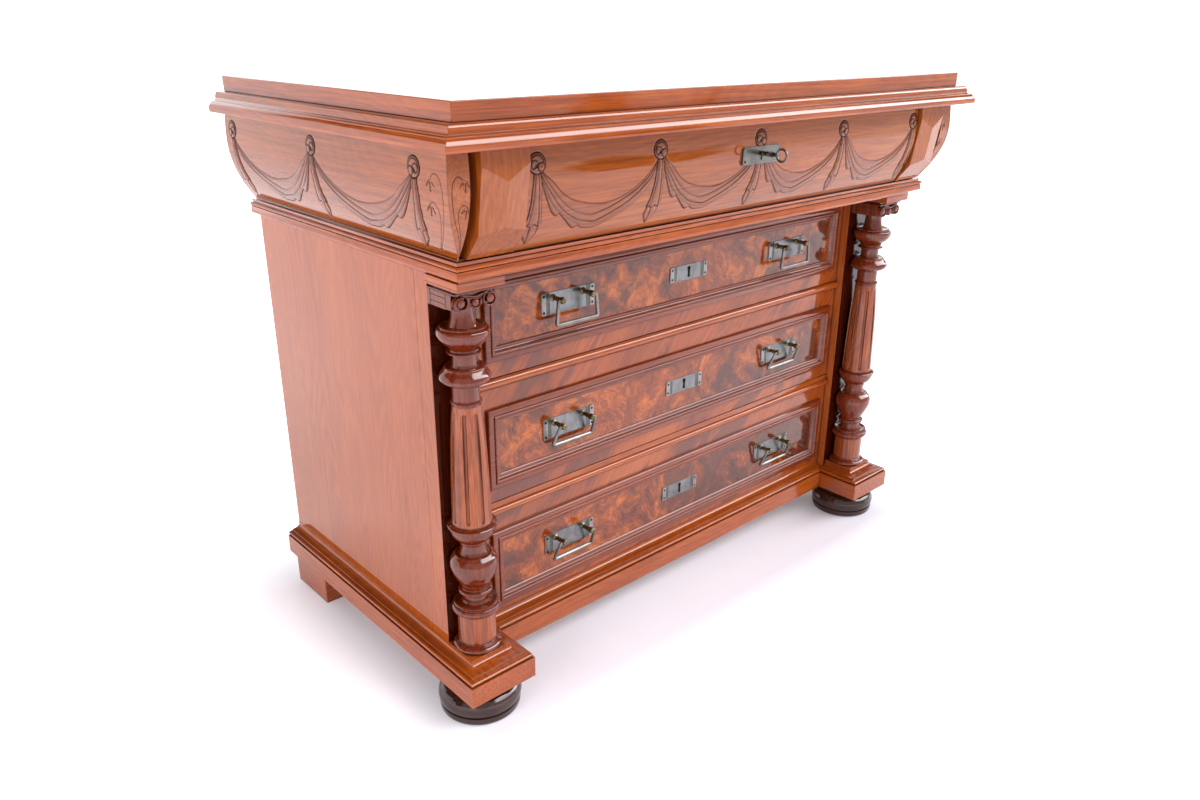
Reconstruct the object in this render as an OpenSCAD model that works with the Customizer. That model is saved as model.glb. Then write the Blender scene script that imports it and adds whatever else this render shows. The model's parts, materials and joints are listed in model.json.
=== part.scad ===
// Two-storey commode: three deep drawers between turned corner columns, under a swelling frieze drawer.
// Millimetres. The floor is z = 0, the front faces -Y, and the origin lies under the middle of the piece.
// Every module draws from the wall: its back plane is y = 0, and "depth" means the distance from the wall.

/* [Case] */
// Width over the side panels
case_w = 1004; // [940:2:1080]
// Depth from the wall to the faces of the stiles
case_d = 484; // [440:2:540]
// Thickness of the side panels
side_t = 22; // [16:1:28]
// Thickness of the back panel
back_t = 12; // [6:1:18]
// Width of a stile
stile_w = 74; // [64:1:84]
// Thickness of a stile, front to back
stile_t = 30; // [24:1:40]
// How far the drawer fronts lie behind the faces of the stiles
drawer_setback = 14.5; // [8:0.5:18]

/* [Heights] */
// Height of the feet
foot_h = 52; // [44:1:64]
// Height of the base, with its moulding
base_h = 53; // [46:1:66]
// Height of the bottom drawer's opening
opening_3_h = 169; // [155:1:190]
// Thickness of the lower rail
rail_lower_t = 20; // [16:0.5:26]
// Height of the middle drawer's opening
opening_2_h = 179.5; // [165:0.5:200]
// Thickness of the upper rail
rail_upper_t = 13.5; // [11:0.5:18]
// Height of the top deep drawer's opening
opening_1_h = 172; // [160:1:190]
// Thickness of the waist board
waist_h = 31; // [29:0.5:38]
// Height of the frieze storey
frieze_h = 132; // [118:1:150]
// Height of the moulding under the top board
cornice_h = 28.5; // [26:0.5:36]
// Thickness of the top board
top_t = 22.5; // [16:0.5:30]

/* [Base] */
// Width of the block under each column
block_w = 112.4; // [106:0.2:120]
// How far the blocks reach in front of the stiles
block_reach = 90.4; // [84:0.2:98]
// How far the fascia between the blocks stands out from the drawer fronts
base_front_out = 20; // [16:0.5:22]
// Height of the moulding along the top of the base
base_cap_h = 20.8; // [18:0.2:24]
// Thickness of the bottom board
bottom_t = 20; // [14:1:26]

/* [Feet] */
// Greatest diameter of a bun foot
bun_d = 124; // [100:1:130]
// Width of a back foot
back_foot_w = 85; // [70:1:100]
// Length of a back foot, front to back
back_foot_l = 106; // [80:1:130]
// How far the back feet stand away from the wall
back_foot_inset = 20; // [5:1:40]

/* [Columns] */
// Greatest diameter of the columns' turned rings
column_d = 70; // [62:1:74]
// From the outside of the case in to the columns' axes
column_inset = 33; // [31:0.5:36]
// From the faces of the stiles out to the columns' axes
column_out = 27; // [24:0.5:34]
// Width of the flat on the base block that a column stands on
plinth_w = 67; // [62:1:74]
// Width of a flute
flute_w = 5.5; // [4:0.5:7]
// Number of flutes round a column
flute_count = 8; // [6:1:10]
// Height of a capital
capital_h = 34; // [30:1:40]
// Width of a capital
capital_w = 67; // [60:1:72]
// Diameter of a capital's scrolls
volute_d = 18; // [14:1:20]
// Width of an impost block
impost_w = 72; // [66:1:78]
// Height of an impost block
impost_h = 9; // [6:1:14]

/* [Upper storey] */
// How far the waist board reaches in front of the stiles
waist_reach = 72; // [66:1:80]
// How far the waist moulding stands out at the sides
waist_side_out = 14; // [12:0.5:17]
// How far the waist moulding stands out at the front
waist_front_out = 18; // [15:0.5:21]
// How far the frieze swells beyond the case at the sides
frieze_side_out = 37; // [32:0.5:41]
// How far the frieze swells beyond the waist board at the front
frieze_front_out = 43.5; // [38:0.5:48]
// How much the frieze draws in towards its foot
swell_in = 33; // [26:0.5:34]
// Height of the frieze's widest level above its foot
swell_h = 92; // [80:1:105]
// How far the cornice stands out beyond the case at the sides
cornice_side_out = 58; // [54:0.5:66]
// How far the cornice stands out beyond the waist board at the front
cornice_front_out = 75.4; // [70:0.2:84]
// How far the edge of the top board lies inside the cornice
top_inset = 26.2; // [22:0.2:30]
// Width of the strip at each front corner of the frieze
strip_w = 29.5; // [24:0.5:34]
// Width of the groove beside the strip
groove_w = 11.5; // [8:0.5:16]
// Depth of the groove beside the strip
groove_depth = 17; // [8:0.5:22]
// Width of a faceted block
facet_w = 69; // [60:1:76]
// Thickness of the posts that carry the faceted blocks, front to back
post_t = 70; // [60:1:90]

// How far the upper end of a block's ridge stands out beyond the frieze
facet_out = 10.3; // [7:0.1:14]
// Height of the ridge above the edges of its facets
facet_ridge = 5; // [3:0.5:8]
// Lean of the ridge, in degrees
ridge_lean = 8.6; // [6:0.2:11]

/* [Drawers] */
// Gap round each drawer front
front_gap = 1.2; // [0.8:0.1:2.5]
// Gap between a drawer box and its guides
box_gap = 1.5; // [1:0.1:3]
// Gap under the drawer sides
run_gap = 0.6; // [0.4:0.1:1.5]
// Thickness of the deep drawers' fronts
front_t = 20; // [18:1:26]
// Thickness of the drawer sides and backs
box_t = 12; // [8:0.5:16]
// Thickness of the drawer bottoms
box_bottom_t = 8; // [5:0.5:12]
// How far the drawer bottoms sit above the lower edges of the sides
box_bottom_up = 7; // [4:0.5:10]
// How far the drawer sides stay below the tops of the openings
box_low = 14; // [8:1:30]
// Room left behind the drawers
box_back_gap = 18; // [8:1:40]
// Thickness of the frieze drawer's front at its foot
frieze_front_t = 20; // [17:0.5:24]
// Width of the guide strips beside the drawers
guide_w = 10; // [6:0.5:14]
// Height of the guide strips
guide_h = 10; // [6:0.5:12]

/* [Frame mouldings on the deep drawers] */
// From the side of the opening in to the moulding
frame_side_in = 18; // [12:0.5:30]
// Width of the moulding
frame_w = 22; // [20:0.5:26]
// Height of the moulding above the drawer front
frame_rise = 9; // [7:0.5:10]
// From the foot of the top deep drawer's opening up to the moulding
frame_1_up = 25.8; // [16:0.2:30]
// Outer height of the moulding on the top deep drawer
frame_1_h = 122.5; // [112:0.5:128]
// From the foot of the middle drawer's opening up to the moulding
frame_2_up = 23; // [14:0.5:30]
// Outer height of the moulding on the middle drawer
frame_2_h = 125; // [114:0.5:130]
// From the foot of the bottom drawer's opening up to the moulding
frame_3_up = 12; // [8:0.5:18]
// Outer height of the moulding on the bottom drawer
frame_3_h = 129; // [116:0.5:134]

/* [Handles] */
// From the middle of the drawer out to the middle of a handle
handle_x = 257.5; // [200:0.5:300]
// How far the handles sit above the middle of the frame moulding
handle_up = 2.8; // [-4:0.2:6]
// Width of a back plate
plate_w = 101; // [92:0.5:110]
// Height of a back plate
plate_h = 33.5; // [30:0.5:40]
// Thickness of a plate
plate_t = 1.6; // [1.2:0.1:2.4]
// Width of the raised band at each end of a plate
band_w = 9; // [7:0.5:12]
// Height of the raised bands above the plate
band_t = 0.7; // [0.4:0.1:1.2]
// Diameter of the pins that fasten the plates
pin_d = 3.2; // [2.4:0.1:4]
// Spacing of the two posts of a handle
post_spacing = 57; // [50:0.5:60]
// From the drawer front out to the pivot of the bail
pivot_out = 22.5; // [18:0.5:28]
// Height of the pivot above the middle of the plate
pivot_up = 8; // [4:0.5:10]
// Diameter of a post's shank
shank_d = 7; // [5:0.2:8]
// Diameter of a post's head
head_d = 9.6; // [8.6:0.1:11]
// Diameter of the bail's wire
wire_d = 5; // [4:0.1:6]
// Diameter of the pins at the ends of the bail
bail_pin_d = 3.2; // [2.4:0.1:3.6]
// Room round a bail's pins in the posts, on the radius
bail_pin_gap = 0.35; // [0.3:0.05:0.5]
// Gap between a bail's leg and the post
leg_gap = 0.7; // [0.4:0.1:1.2]
// From the pivot down to the middle of the bar
bail_drop = 36; // [32:0.5:40]
// How far each leg splays from the pivot to the bar
bail_splay = 2.4; // [0:0.2:5]
// Lean of the top deep drawer's bails towards the drawer, in degrees
lean_1 = 0; // [0:1:24]
// Lean of the middle drawer's bails, in degrees
lean_2 = 21; // [0:1:24]
// Lean of the bottom drawer's bails, in degrees
lean_3 = 21; // [0:1:24]

/* [Locks] */
// Width of a keyhole plate
escutcheon_w = 87; // [76:0.5:96]
// Height of a keyhole plate on a deep drawer
escutcheon_h = 25; // [22:0.5:32]
// How far the keyhole plates sit above the middle of the frame moulding
escutcheon_up = 1.8; // [-4:0.2:6]
// Width of the frieze drawer's keyhole plate
frieze_plate_w = 82; // [70:0.5:90]
// Height of the frieze drawer's keyhole plate
frieze_plate_h = 22; // [20:0.5:28]
// How far the middle of that plate lies below the key's axis
frieze_plate_low = 2.5; // [0:0.5:4]
// How far the face of that plate stands out beyond the frieze
frieze_plate_out = 3; // [2:0.5:5]
// Height of the key's axis above the foot of the frieze storey
key_up = 86.5; // [76:0.5:96]
// Height of a keyhole on a deep drawer
keyhole_h = 18; // [14:0.5:20]
// Diameter of the round top of a keyhole
keyhole_d = 6.4; // [6:0.1:7.5]
// Width of the slot below it
keyhole_slot_w = 3.6; // [3:0.1:4.4]
// Height of the frieze drawer's keyhole below the key's axis
keyhole_low = 8.5; // [8:0.1:9.5]
// Width of a lock case
lock_w = 62; // [54:1:74]
// Depth of a lock case on a deep drawer
lock_d = 11; // [10:0.5:13]
// Depth of the frieze drawer's lock case
frieze_lock_d = 15; // [14:0.5:17]
// Thickness of the lock cases' sheet
lock_t = 1.2; // [0.8:0.1:1.6]
// From the key's axis down to the foot of a lock case
lock_low = 16; // [13:0.5:20]
// Width of the bolt
bolt_w = 24; // [18:0.5:30]
// Thickness of the bolt
bolt_t = 4; // [3:0.1:4.5]
// How far the bolt rises
bolt_throw = 6; // [4:0.5:7]
// Room round the bolt where it slides
bolt_gap = 0.5; // [0.3:0.1:1]

/* [Key] */
// How far the key's bow reaches in front of the frieze
key_reach = 50; // [44:0.5:56]
// Diameter of the key's shaft
shaft_d = 5.2; // [4:0.1:5.4]
// Height of the key's bow
bow_h = 21; // [17:0.5:26]
// Thickness of the bow's ring
bow_wire = 3.2; // [2.4:0.1:4]
// How far the key's bit reaches from its axis
bit_r = 8; // [6.5:0.1:8.2]
// Thickness of the bit
bit_t = 2.6; // [1.8:0.1:2.8]
// Length of the bit along the key
bit_l = 5; // [3.5:0.1:5.5]

/* [Hidden] */
$fn = 48;

// Colours as the photograph shows them
walnut = [0.72, 0.42, 0.30];
burr = [0.68, 0.38, 0.26];
oak = [0.74, 0.60, 0.42];
dark_wood = [0.36, 0.16, 0.13];
ebonised = [0.16, 0.10, 0.09];
nickel = [0.62, 0.60, 0.58];
steel = [0.45, 0.44, 0.43];

// Half widths, measured from the middle of the piece
half = case_w / 2;
inner_half = half - side_t;
opening_half = half - stile_w;
frieze_half = half + frieze_side_out;
facet_x1 = frieze_half - strip_w - groove_w;
facet_x0 = facet_x1 - facet_w;
cornice_half = half + cornice_side_out;

// Depths, measured from the wall
front_d = case_d - drawer_setback;
stile_back_d = case_d - stile_t;
block_d = case_d + block_reach;
waist_board_d = case_d + waist_reach;
waist_d = waist_board_d + waist_front_out;
frieze_d = waist_board_d + frieze_front_out;
cornice_d = waist_board_d + cornice_front_out;
total_d = max(cornice_d, frieze_d + key_reach);

// Levels, measured from the floor
base_z = foot_h + base_h;
rail_lower_z = base_z + opening_3_h;
opening_2_z = rail_lower_z + rail_lower_t;
rail_upper_z = opening_2_z + opening_2_h;
opening_1_z = rail_upper_z + rail_upper_t;
waist_z = opening_1_z + opening_1_h;
frieze_z = waist_z + waist_h;
cornice_z = frieze_z + frieze_h;
top_z = cornice_z + cornice_h;

// The columns stand on the middle of their blocks
column_x = half - column_inset;
column_axis_d = case_d + column_out;
capital_z = waist_z - impost_h - capital_h;
base_out = block_w / 2 - column_inset;

// The deep drawers, numbered from the top:
// [foot of the opening, its height, frame's rise, frame's height, lean of its bails]
deep = [
    [opening_1_z, opening_1_h, frame_1_up, frame_1_h, lean_1],
    [opening_2_z, opening_2_h, frame_2_up, frame_2_h, lean_2],
    [base_z, opening_3_h, frame_3_up, frame_3_h, lean_3]
];
function frame_mid(d) = d[0] + d[2] + d[3] / 2;

// Puts the back plane on the wall side of the frame, so that the origin is under the middle
module at_wall() translate([0, total_d / 2, 0]) children();

// Box between two x values, two depths and two levels
module board(x0, x1, d0, d1, z0, z1) translate([x0, -d1, z0]) cube([x1 - x0, d1 - d0, z1 - z0]);

// Outline of (y, z) points drawn along X, and outline of (x, z) points drawn from the wall forwards
module along_x(length) rotate([90, 0, 90]) linear_extrude(length, center = true) children();
module along_y(length) rotate([90, 0, 0]) linear_extrude(length) children();

// Points of an arc about [cx, cy] with its own radius each way, from angle a0 to angle a1
function arc(cx, cy, rx, ry, a0, a1, n) =
    [for (i = [0:n]) let (a = a0 + (a1 - a0) * i / n) [cx + rx * cos(a), cy + ry * sin(a)]];
function flipped(list) = [for (i = [len(list) - 1:-1:0]) list[i]];
function last(list) = list[len(list) - 1];

// Mass with rectangular level sections. The profile gives [inset, level] from its foot up, and
// the inset at the front is scaled so that the mitre meets a given inner corner.
module moulded_mass(profile, half_w, depth, front_scale = 1) {
    right = [for (p = profile) [half_w - p[0], p[1]]];
    left = [for (p = profile) [p[0] - half_w, p[1]]];
    front = [for (p = profile) [front_scale * p[0] - depth, p[1]]];
    intersection() {
        along_y(depth + 1) polygon(concat(right, flipped(left)));
        along_x(2 * half_w + 2) polygon(concat(front, [[0, last(profile)[1]], [0, profile[0][1]]]));
    }
}

// Plan of a front length and of a right-hand length, mitred between an inner and an outer corner.
// The front length may run on to a back edge behind its mitres.
module front_plan(inner, outer, back_d) polygon([
    [inner[0], -inner[1]], [outer[0], -outer[1]], [-outer[0], -outer[1]], [-inner[0], -inner[1]],
    [-inner[0], -back_d], [inner[0], -back_d]
]);
module right_plan(inner, outer) polygon([
    [inner[0], 0], [inner[0], -inner[1]], [outer[0], -outer[1]], [outer[0], 0]
]);
module lengths_between(z0, z1) translate([0, 0, z0]) linear_extrude(z1 - z0) children();

// Feet
module bun_foot_right() color(ebonised) {
    k = bun_d / 2;
    top = foot_h;
    translate([column_x, -column_axis_d, 0]) rotate_extrude($fn = 96) polygon(concat(
        [[0, 0], [k - 7, 0], [k - 3, 2], [k - 2, 5], [k - 1.5, 12]],
        [[k - 3.6, 13.2], [k - 3.6, 14.6], [k - 1, 16]],
        arc(k - 16, 0.46 * top, 16, 0.36 * top, -15, 82, 9),
        [[k - 22, top - 6], [k - 24, top - 4], [k - 24, top], [0, top]]
    ));
}
module bun_foot_left() mirror([1, 0, 0]) bun_foot_right();

module back_foot_right() color(ebonised) {
    outer = half + base_out - 3;
    board(outer - back_foot_w, outer, back_foot_inset, back_foot_inset + back_foot_l, 0, foot_h);
}
module back_foot_left() mirror([1, 0, 0]) back_foot_right();

// Profile of the base from the floor side up: [share of the projection drawn in, level]
base_profile = concat(
    [[0, foot_h], [0, base_z - base_cap_h], [0.13, base_z - base_cap_h]],
    arc(0.24, base_z - 0.83 * base_cap_h, 0.17, 0.15 * base_cap_h, -90, -270, 8),
    [[0.4, base_z - 0.68 * base_cap_h], [0.4, base_z - 0.57 * base_cap_h]],
    [[0.48, base_z - 0.57 * base_cap_h]],
    arc(0.48, base_z - 0.22 * base_cap_h, 0.52, 0.35 * base_cap_h, -90, 0, 8),
    [[1, base_z]]
);
function drawn_in(projection) = [for (p = base_profile) [p[0] * projection, p[1]]];

module base_front() color(walnut) {
    fascia_d = front_d + base_front_out;
    outline = concat(
        [for (p = drawn_in(base_out)) [p[0] - fascia_d, p[1]]],
        [[-stile_back_d, base_z], [-stile_back_d, foot_h]]
    );
    intersection() {
        along_x(2 * opening_half) polygon(outline);
        lengths_between(foot_h, base_z) union() {
            translate([-opening_half, -case_d]) square([2 * opening_half, stile_t]);
            translate([block_w / 2 - column_x, -fascia_d])
                square([2 * column_x - block_w, fascia_d - stile_back_d]);
        }
    }
}

module base_right() color(walnut) {
    block_side = drawn_in((block_w - plinth_w) / 2);
    block_front = drawn_in(block_reach - column_out - plinth_w / 2);
    along_y(case_d) polygon(concat(
        [for (p = block_side) [half + base_out - p[0], p[1]]], [[half, base_z], [half, foot_h]]
    ));
    intersection() {
        along_y(block_d) polygon(concat(
            [for (p = block_side) [column_x + block_w / 2 - p[0], p[1]]],
            flipped([for (p = block_side) [column_x - block_w / 2 + p[0], p[1]]])
        ));
        along_x(4 * half) polygon(concat(
            [for (p = block_front) [p[0] - block_d, p[1]]], [[-case_d, base_z], [-case_d, foot_h]]
        ));
    }
}
module base_left() mirror([1, 0, 0]) base_right();

// Guide strips that stand beside a drawer, from the back panel forwards
module guides(x, d1, z) for (side = [0, 1]) mirror([side, 0, 0])
    board(x, x + guide_w, back_t, d1, z, z + guide_h);

module bottom_board() color(oak) {
    board(-inner_half, inner_half, back_t, stile_back_d, base_z - bottom_t, base_z);
    guides(opening_half, stile_back_d, base_z);
}

// Case
module side_panel_right() color(walnut) board(inner_half, half, 0, stile_back_d, foot_h, waist_z);
module side_panel_left() mirror([1, 0, 0]) side_panel_right();
module back_panel() color(oak) board(-inner_half, inner_half, 0, back_t, foot_h, top_z);
module stile_right() color(walnut) board(opening_half, half, stile_back_d, case_d, foot_h, waist_z);
module stile_left() mirror([1, 0, 0]) stile_right();

// A rail is the front edge of a dust board that runs to the back. Its nose is tongued into the board.
module dust_board(z, t, bead_r, nose) {
    tongue = 10;
    board(-inner_half, inner_half, back_t, stile_back_d, z, z + t);
    guides(opening_half, stile_back_d, z + t);
    along_x(2 * opening_half) union() {
        translate([-nose - front_d, z]) square([front_d + nose - stile_back_d + tongue, t]);
        translate([-nose - front_d, z + bead_r]) circle(bead_r);
    }
}
module rail_lower() color(walnut) dust_board(rail_lower_z, rail_lower_t, 0.28 * rail_lower_t, 1);
module rail_upper() color(walnut) dust_board(rail_upper_z, rail_upper_t, rail_upper_t / 2, 0);

// Waist
module waist_board() color(walnut) {
    difference() {
        board(-half, half, 0, waist_board_d, waist_z, frieze_z);
        board(-inner_half, inner_half, -1, back_t, waist_z - 1, frieze_z + 1);
    }
    guides(facet_x0, frieze_d - post_t, frieze_z);
}

module waist_mass() {
    o = waist_side_out;
    h = waist_h;
    moulded_mass(concat(
        [[o, waist_z], [o - 0.6, waist_z + 0.8]],
        arc(0.8, waist_z + 0.8, o - 1.4, 0.23 * h, 0, 90, 7),
        [[0.8, waist_z + 0.58 * h]],
        arc(3, waist_z + 0.68 * h, 3, 0.09 * h, -90, -270, 8),
        [[4.6, waist_z + 0.77 * h], [3.6, waist_z + 0.8 * h], [3.6, waist_z + 0.93 * h]],
        [[o - 3.6, waist_z + 0.93 * h], [o - 3.6, frieze_z]]
    ), half + o, waist_d, waist_front_out / o);
}
waist_inner = [half, waist_board_d];
waist_outer = [half + waist_side_out, waist_d];
module waist_moulding_front() color(walnut) intersection() {
    waist_mass();
    lengths_between(waist_z, frieze_z) front_plan(waist_inner, waist_outer, waist_board_d);
}
module waist_moulding_right() color(walnut) intersection() {
    waist_mass();
    lengths_between(waist_z, frieze_z) right_plan(waist_inner, waist_outer);
}
module waist_moulding_left() mirror([1, 0, 0]) waist_moulding_right();

// Columns. The lower and the upper turned lengths keep their heights, and the fluted shaft fills
// what is left. Their outlines give [height, radius on a column whose rings are drawn_d across].
drawn_d = 70;
function turned(list, z) = [for (p = list) [p[1] * column_d / drawn_d, z + p[0]]];
lower_points = [
    [0, 32.5], [2, 35], [7, 35], [9.5, 32], [11, 28.5], [12, 27.5], [57, 27.5], [59, 29.5],
    [61, 32.5], [66, 34.3], [72, 34.8], [75, 33.6], [76, 32], [76, 23], [77, 23], [78, 18.8],
    [88, 18.8], [90, 20.5], [91, 23.2], [93, 24], [97, 24], [99, 23], [100.5, 21.6], [102, 21.8],
    [108, 23.8], [114, 27], [125, 32], [133, 34.2], [138, 34.5], [144, 33.4], [149, 30.5],
    [153, 26.5], [154.5, 24], [156, 23.5], [157, 20], [160, 18.2], [168, 18.2], [172, 19],
    [176, 22], [182, 28.5], [188, 31.6], [193, 33.2], [199, 35.1], [201.5, 34], [202.5, 31],
    [203, 28.5]
];
shaft_points = [[0, 28.5], [8, 28], [32, 27.2], [62, 26.4], [122, 24.1], [164, 20.8], [174, 19.7]];
flute_foot = [5, 27.8];
flute_head = [8, 20.6];
upper_points = [
    [0, 19.6], [3, 20], [5.5, 21.3], [8, 20], [9.5, 18.8], [28, 18.8], [30, 21.5], [31, 24.5],
    [34, 30], [36.5, 33.3], [40, 34.5], [44, 34.8], [47.5, 32.3], [50, 29.5], [52, 27], [54, 23],
    [56, 20.2], [58, 17.3], [60, 16.3], [71, 16.3], [73, 23], [75, 26.5], [77.5, 26], [79, 17.5],
    [82, 17.3], [84, 22], [88, 29.5], [94, 34], [101, 35.5], [106, 34], [109, 31.5], [110, 30.3],
    [111, 24], [111.5, 17.2], [116, 15.8], [125, 14.5], [129, 15.5], [132, 18], [134, 20]
];
shaft_z0 = base_z + last(lower_points)[0];
shaft_z1 = capital_z - last(upper_points)[0];
module column(side) color(dark_wood) {
    stretch = (shaft_z1 - shaft_z0) / last(shaft_points)[0];
    shaft = [for (p = shaft_points) [p[0] * stretch, p[1]]];
    outline = concat(
        [[0, base_z]], turned(lower_points, base_z), turned(shaft, shaft_z0), turned(upper_points, shaft_z1),
        [[0, capital_z]]
    );
    flute_z = [shaft_z0 + flute_foot[0], shaft_z1 - flute_head[0]];
    flute_r = [flute_foot[1], flute_head[1]] * column_d / drawn_d;
    x = side * column_x;
    difference() {
        translate([x, -column_axis_d, 0]) rotate_extrude($fn = 96) polygon(outline);
        board(x - column_d, x + column_d, case_d - column_d, case_d, base_z - 1, waist_z);
        translate([x, -column_axis_d, 0]) for (i = [0:flute_count - 1])
            rotate([0, 0, 360 * i / flute_count - 90]) flute(flute_z, flute_r);
    }
}

// A round-ended groove down the tapering shaft, on the +X side
module flute(z, r) {
    lean = atan2(r[0] - r[1], z[1] - z[0]);
    length = (z[1] - z[0]) / cos(lean) - flute_w;
    translate([r[0], 0, z[0] + flute_w / 2]) rotate([0, -lean, 0]) {
        cylinder(h = length, d = flute_w, $fn = 24);
        sphere(d = flute_w, $fn = 24);
        translate([0, 0, length]) sphere(d = flute_w, $fn = 24);
    }
}

// Scrolled capital: two bolsters that run front to back, with a channelled band over them
button_d = 6.5;
bud_d = 9;
scroll_band_h = 10;
module capital_right() color(dark_wood) {
    reach = capital_w / 2;
    front = column_axis_d + reach;
    bolster_x = reach - volute_d / 2;
    bolster_z = capital_z + 2 + volute_d / 2;
    band_z = capital_z + capital_h - scroll_band_h;
    translate([column_x, 0, 0]) difference() {
        union() {
            for (side = [-1, 1]) translate([side * bolster_x, 0, bolster_z]) rotate([90, 0, 0])
                translate([0, 0, case_d]) {
                    cylinder(h = front - case_d, d = volute_d);
                    cylinder(h = front - case_d + 1.2, d = button_d);
                }
            board(-bolster_x, bolster_x, case_d, front - 6, capital_z, band_z);
            board(-reach, reach, case_d, front - 1.5, bolster_z, band_z);
            board(-reach, reach, case_d, front, band_z, capital_z + capital_h);
            for (i = [-1:1]) translate([i * bud_d, 6 - front, bolster_z + 1]) sphere(d = bud_d, $fn = 24);
        }
        for (side = [-1, 1]) translate([side * bolster_x, 0, bolster_z]) rotate([90, 0, 0])
            translate([0, 0, front - 2]) difference() {
                cylinder(h = 4, d = volute_d - 4);
                cylinder(h = 4, d = button_d);
            }
        for (side = [-1, 1]) translate([side * reach, 0, bolster_z])
            board(-1, 1, case_d + 6, front - 16, -4, 10);
        board(-reach - 1, reach + 1, front - 3, front + 1, band_z + 2, band_z + 3.5);
    }
}
module capital_left() mirror([1, 0, 0]) capital_right();

module impost_right() color(walnut) {
    x0 = column_x - impost_w / 2;
    board(x0, x0 + impost_w, case_d, waist_board_d, waist_z - impost_h, waist_z);
}
module impost_left() mirror([1, 0, 0]) impost_right();

// Frieze storey. The swell draws in towards the foot, and a little towards the top.
swell_in_top = 2.5;
function swell(h) = h < swell_h
    ? swell_in * pow((swell_h - h) / swell_h, 2)
    : swell_in_top * pow((h - swell_h) / (frieze_h - swell_h), 2);
swell_steps = 16;
swell_profile = [for (i = [0:swell_steps]) let (h = frieze_h * i / swell_steps) [swell(h), frieze_z + h]];

// Swelling mass, drawn back by a given amount at the front
module frieze_mass(back = 0) moulded_mass(swell_profile, frieze_half, frieze_d - back);

module frieze_side_right() color(walnut) {
    post_d = frieze_d - post_t;
    intersection() {
        frieze_mass();
        union() {
            board(inner_half, 2 * half, 0, post_d, frieze_z, cornice_z);
            board(facet_x1 + groove_w, 2 * half, post_d, 2 * cornice_d, frieze_z, cornice_z);
        }
    }
    intersection() {
        frieze_mass(groove_depth);
        board(facet_x1, facet_x1 + groove_w, post_d, 2 * cornice_d, frieze_z, cornice_z);
    }
}
module frieze_side_left() mirror([1, 0, 0]) frieze_side_right();

// Post with a faceted front: two tall facets meet at a leaning ridge, between a top and a foot facet
facet_foot_slope = 0.82;
facet_top_slope = 0.12;
module facet_block_right() color(burr) {
    mid = (facet_x0 + facet_x1) / 2;
    post_d = frieze_d - post_t;
    foot_d = frieze_d - swell_in + 3.5;
    ridge_d = frieze_d + facet_out;
    ridge_h = 0.7 * frieze_h;
    foot_ridge_d = ridge_d - ridge_h * tan(ridge_lean);
    top_d = ridge_d + facet_top_slope * (ridge_h - frieze_h);
    crest_h = (ridge_d + facet_top_slope * ridge_h - foot_d) / (facet_foot_slope + facet_top_slope);
    intersection() {
        along_x(4 * facet_x1) polygon([
            [-post_d, frieze_z], [-foot_d, frieze_z],
            [-foot_d - facet_foot_slope * crest_h, frieze_z + crest_h],
            [-top_d, cornice_z], [-post_d, cornice_z]
        ]);
        translate([0, -foot_ridge_d, frieze_z]) rotate([ridge_lean, 0, 0]) translate([0, 0, -frieze_h])
            linear_extrude(3 * frieze_h) polygon([
                [facet_x0, facet_ridge], [mid, 0], [facet_x1, facet_ridge],
                [facet_x1, 2 * post_t], [facet_x0, 2 * post_t]
            ]);
    }
}
module facet_block_left() mirror([1, 0, 0]) facet_block_right();

// Cornice and top
cornice_t = cornice_half - inner_half;
cornice_inner = [inner_half, cornice_d - cornice_t];
cornice_outer = [cornice_half, cornice_d];
module cornice_mass() {
    h = cornice_h;
    moulded_mass(concat(
        [[0.4, cornice_z], [0, cornice_z + 0.1 * h], [0, cornice_z + 0.22 * h], [1, cornice_z + 0.34 * h]],
        [[5, cornice_z + 0.5 * h], [5, cornice_z + 0.56 * h]],
        [[10.5, cornice_z + 0.56 * h], [10.5, cornice_z + 0.63 * h], [11.4, cornice_z + 0.66 * h]],
        arc(15.6, cornice_z + 0.66 * h, 4.2, 0.34 * h, 180, 90, 7)
    ), cornice_half, cornice_d);
}
module cornice_front() color(walnut) difference() {
    intersection() {
        cornice_mass();
        lengths_between(cornice_z, top_z)
            front_plan(cornice_inner, cornice_outer, frieze_inner_d - post_t / 4);
    }
    bolt_mortise();
}
module cornice_right() color(walnut) intersection() {
    cornice_mass();
    lengths_between(cornice_z, top_z) right_plan(cornice_inner, cornice_outer);
}
module cornice_left() mirror([1, 0, 0]) cornice_right();

module top_board() color(walnut)
    board(top_inset - cornice_half, cornice_half - top_inset, 0, cornice_d - top_inset, top_z, top_z + top_t);

// Deep drawers
front_half = opening_half - front_gap;
lock_front_d = front_d - front_t + lock_d;
function key_z(d) = frame_mid(d) + escutcheon_up;

// Round-ended keyhole as an (x, z) outline about the middle of its round top
module keyhole_outline(low) {
    circle(d = keyhole_d, $fn = 32);
    translate([-keyhole_slot_w / 2, -low]) square([keyhole_slot_w, low]);
}
module keyhole_cut(d0, d1, z, low) translate([0, -d0, z]) along_y(d1 - d0) keyhole_outline(low);

module drawer_front(d) color(burr) {
    top = d[0] + d[1] - front_gap;
    difference() {
        board(-front_half, front_half, front_d - front_t, front_d, d[0] + front_gap, top);
        board(-lock_w / 2, lock_w / 2, front_d - front_t - 1, lock_front_d, key_z(d) - lock_low, top + 1);
        keyhole_cut(front_d - front_t - 1, front_d + 1, key_z(d) + keyhole_top, keyhole_slot_h);
    }
}
keyhole_top = (keyhole_h - keyhole_d) / 2;
keyhole_slot_h = keyhole_h - keyhole_d / 2;

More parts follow.
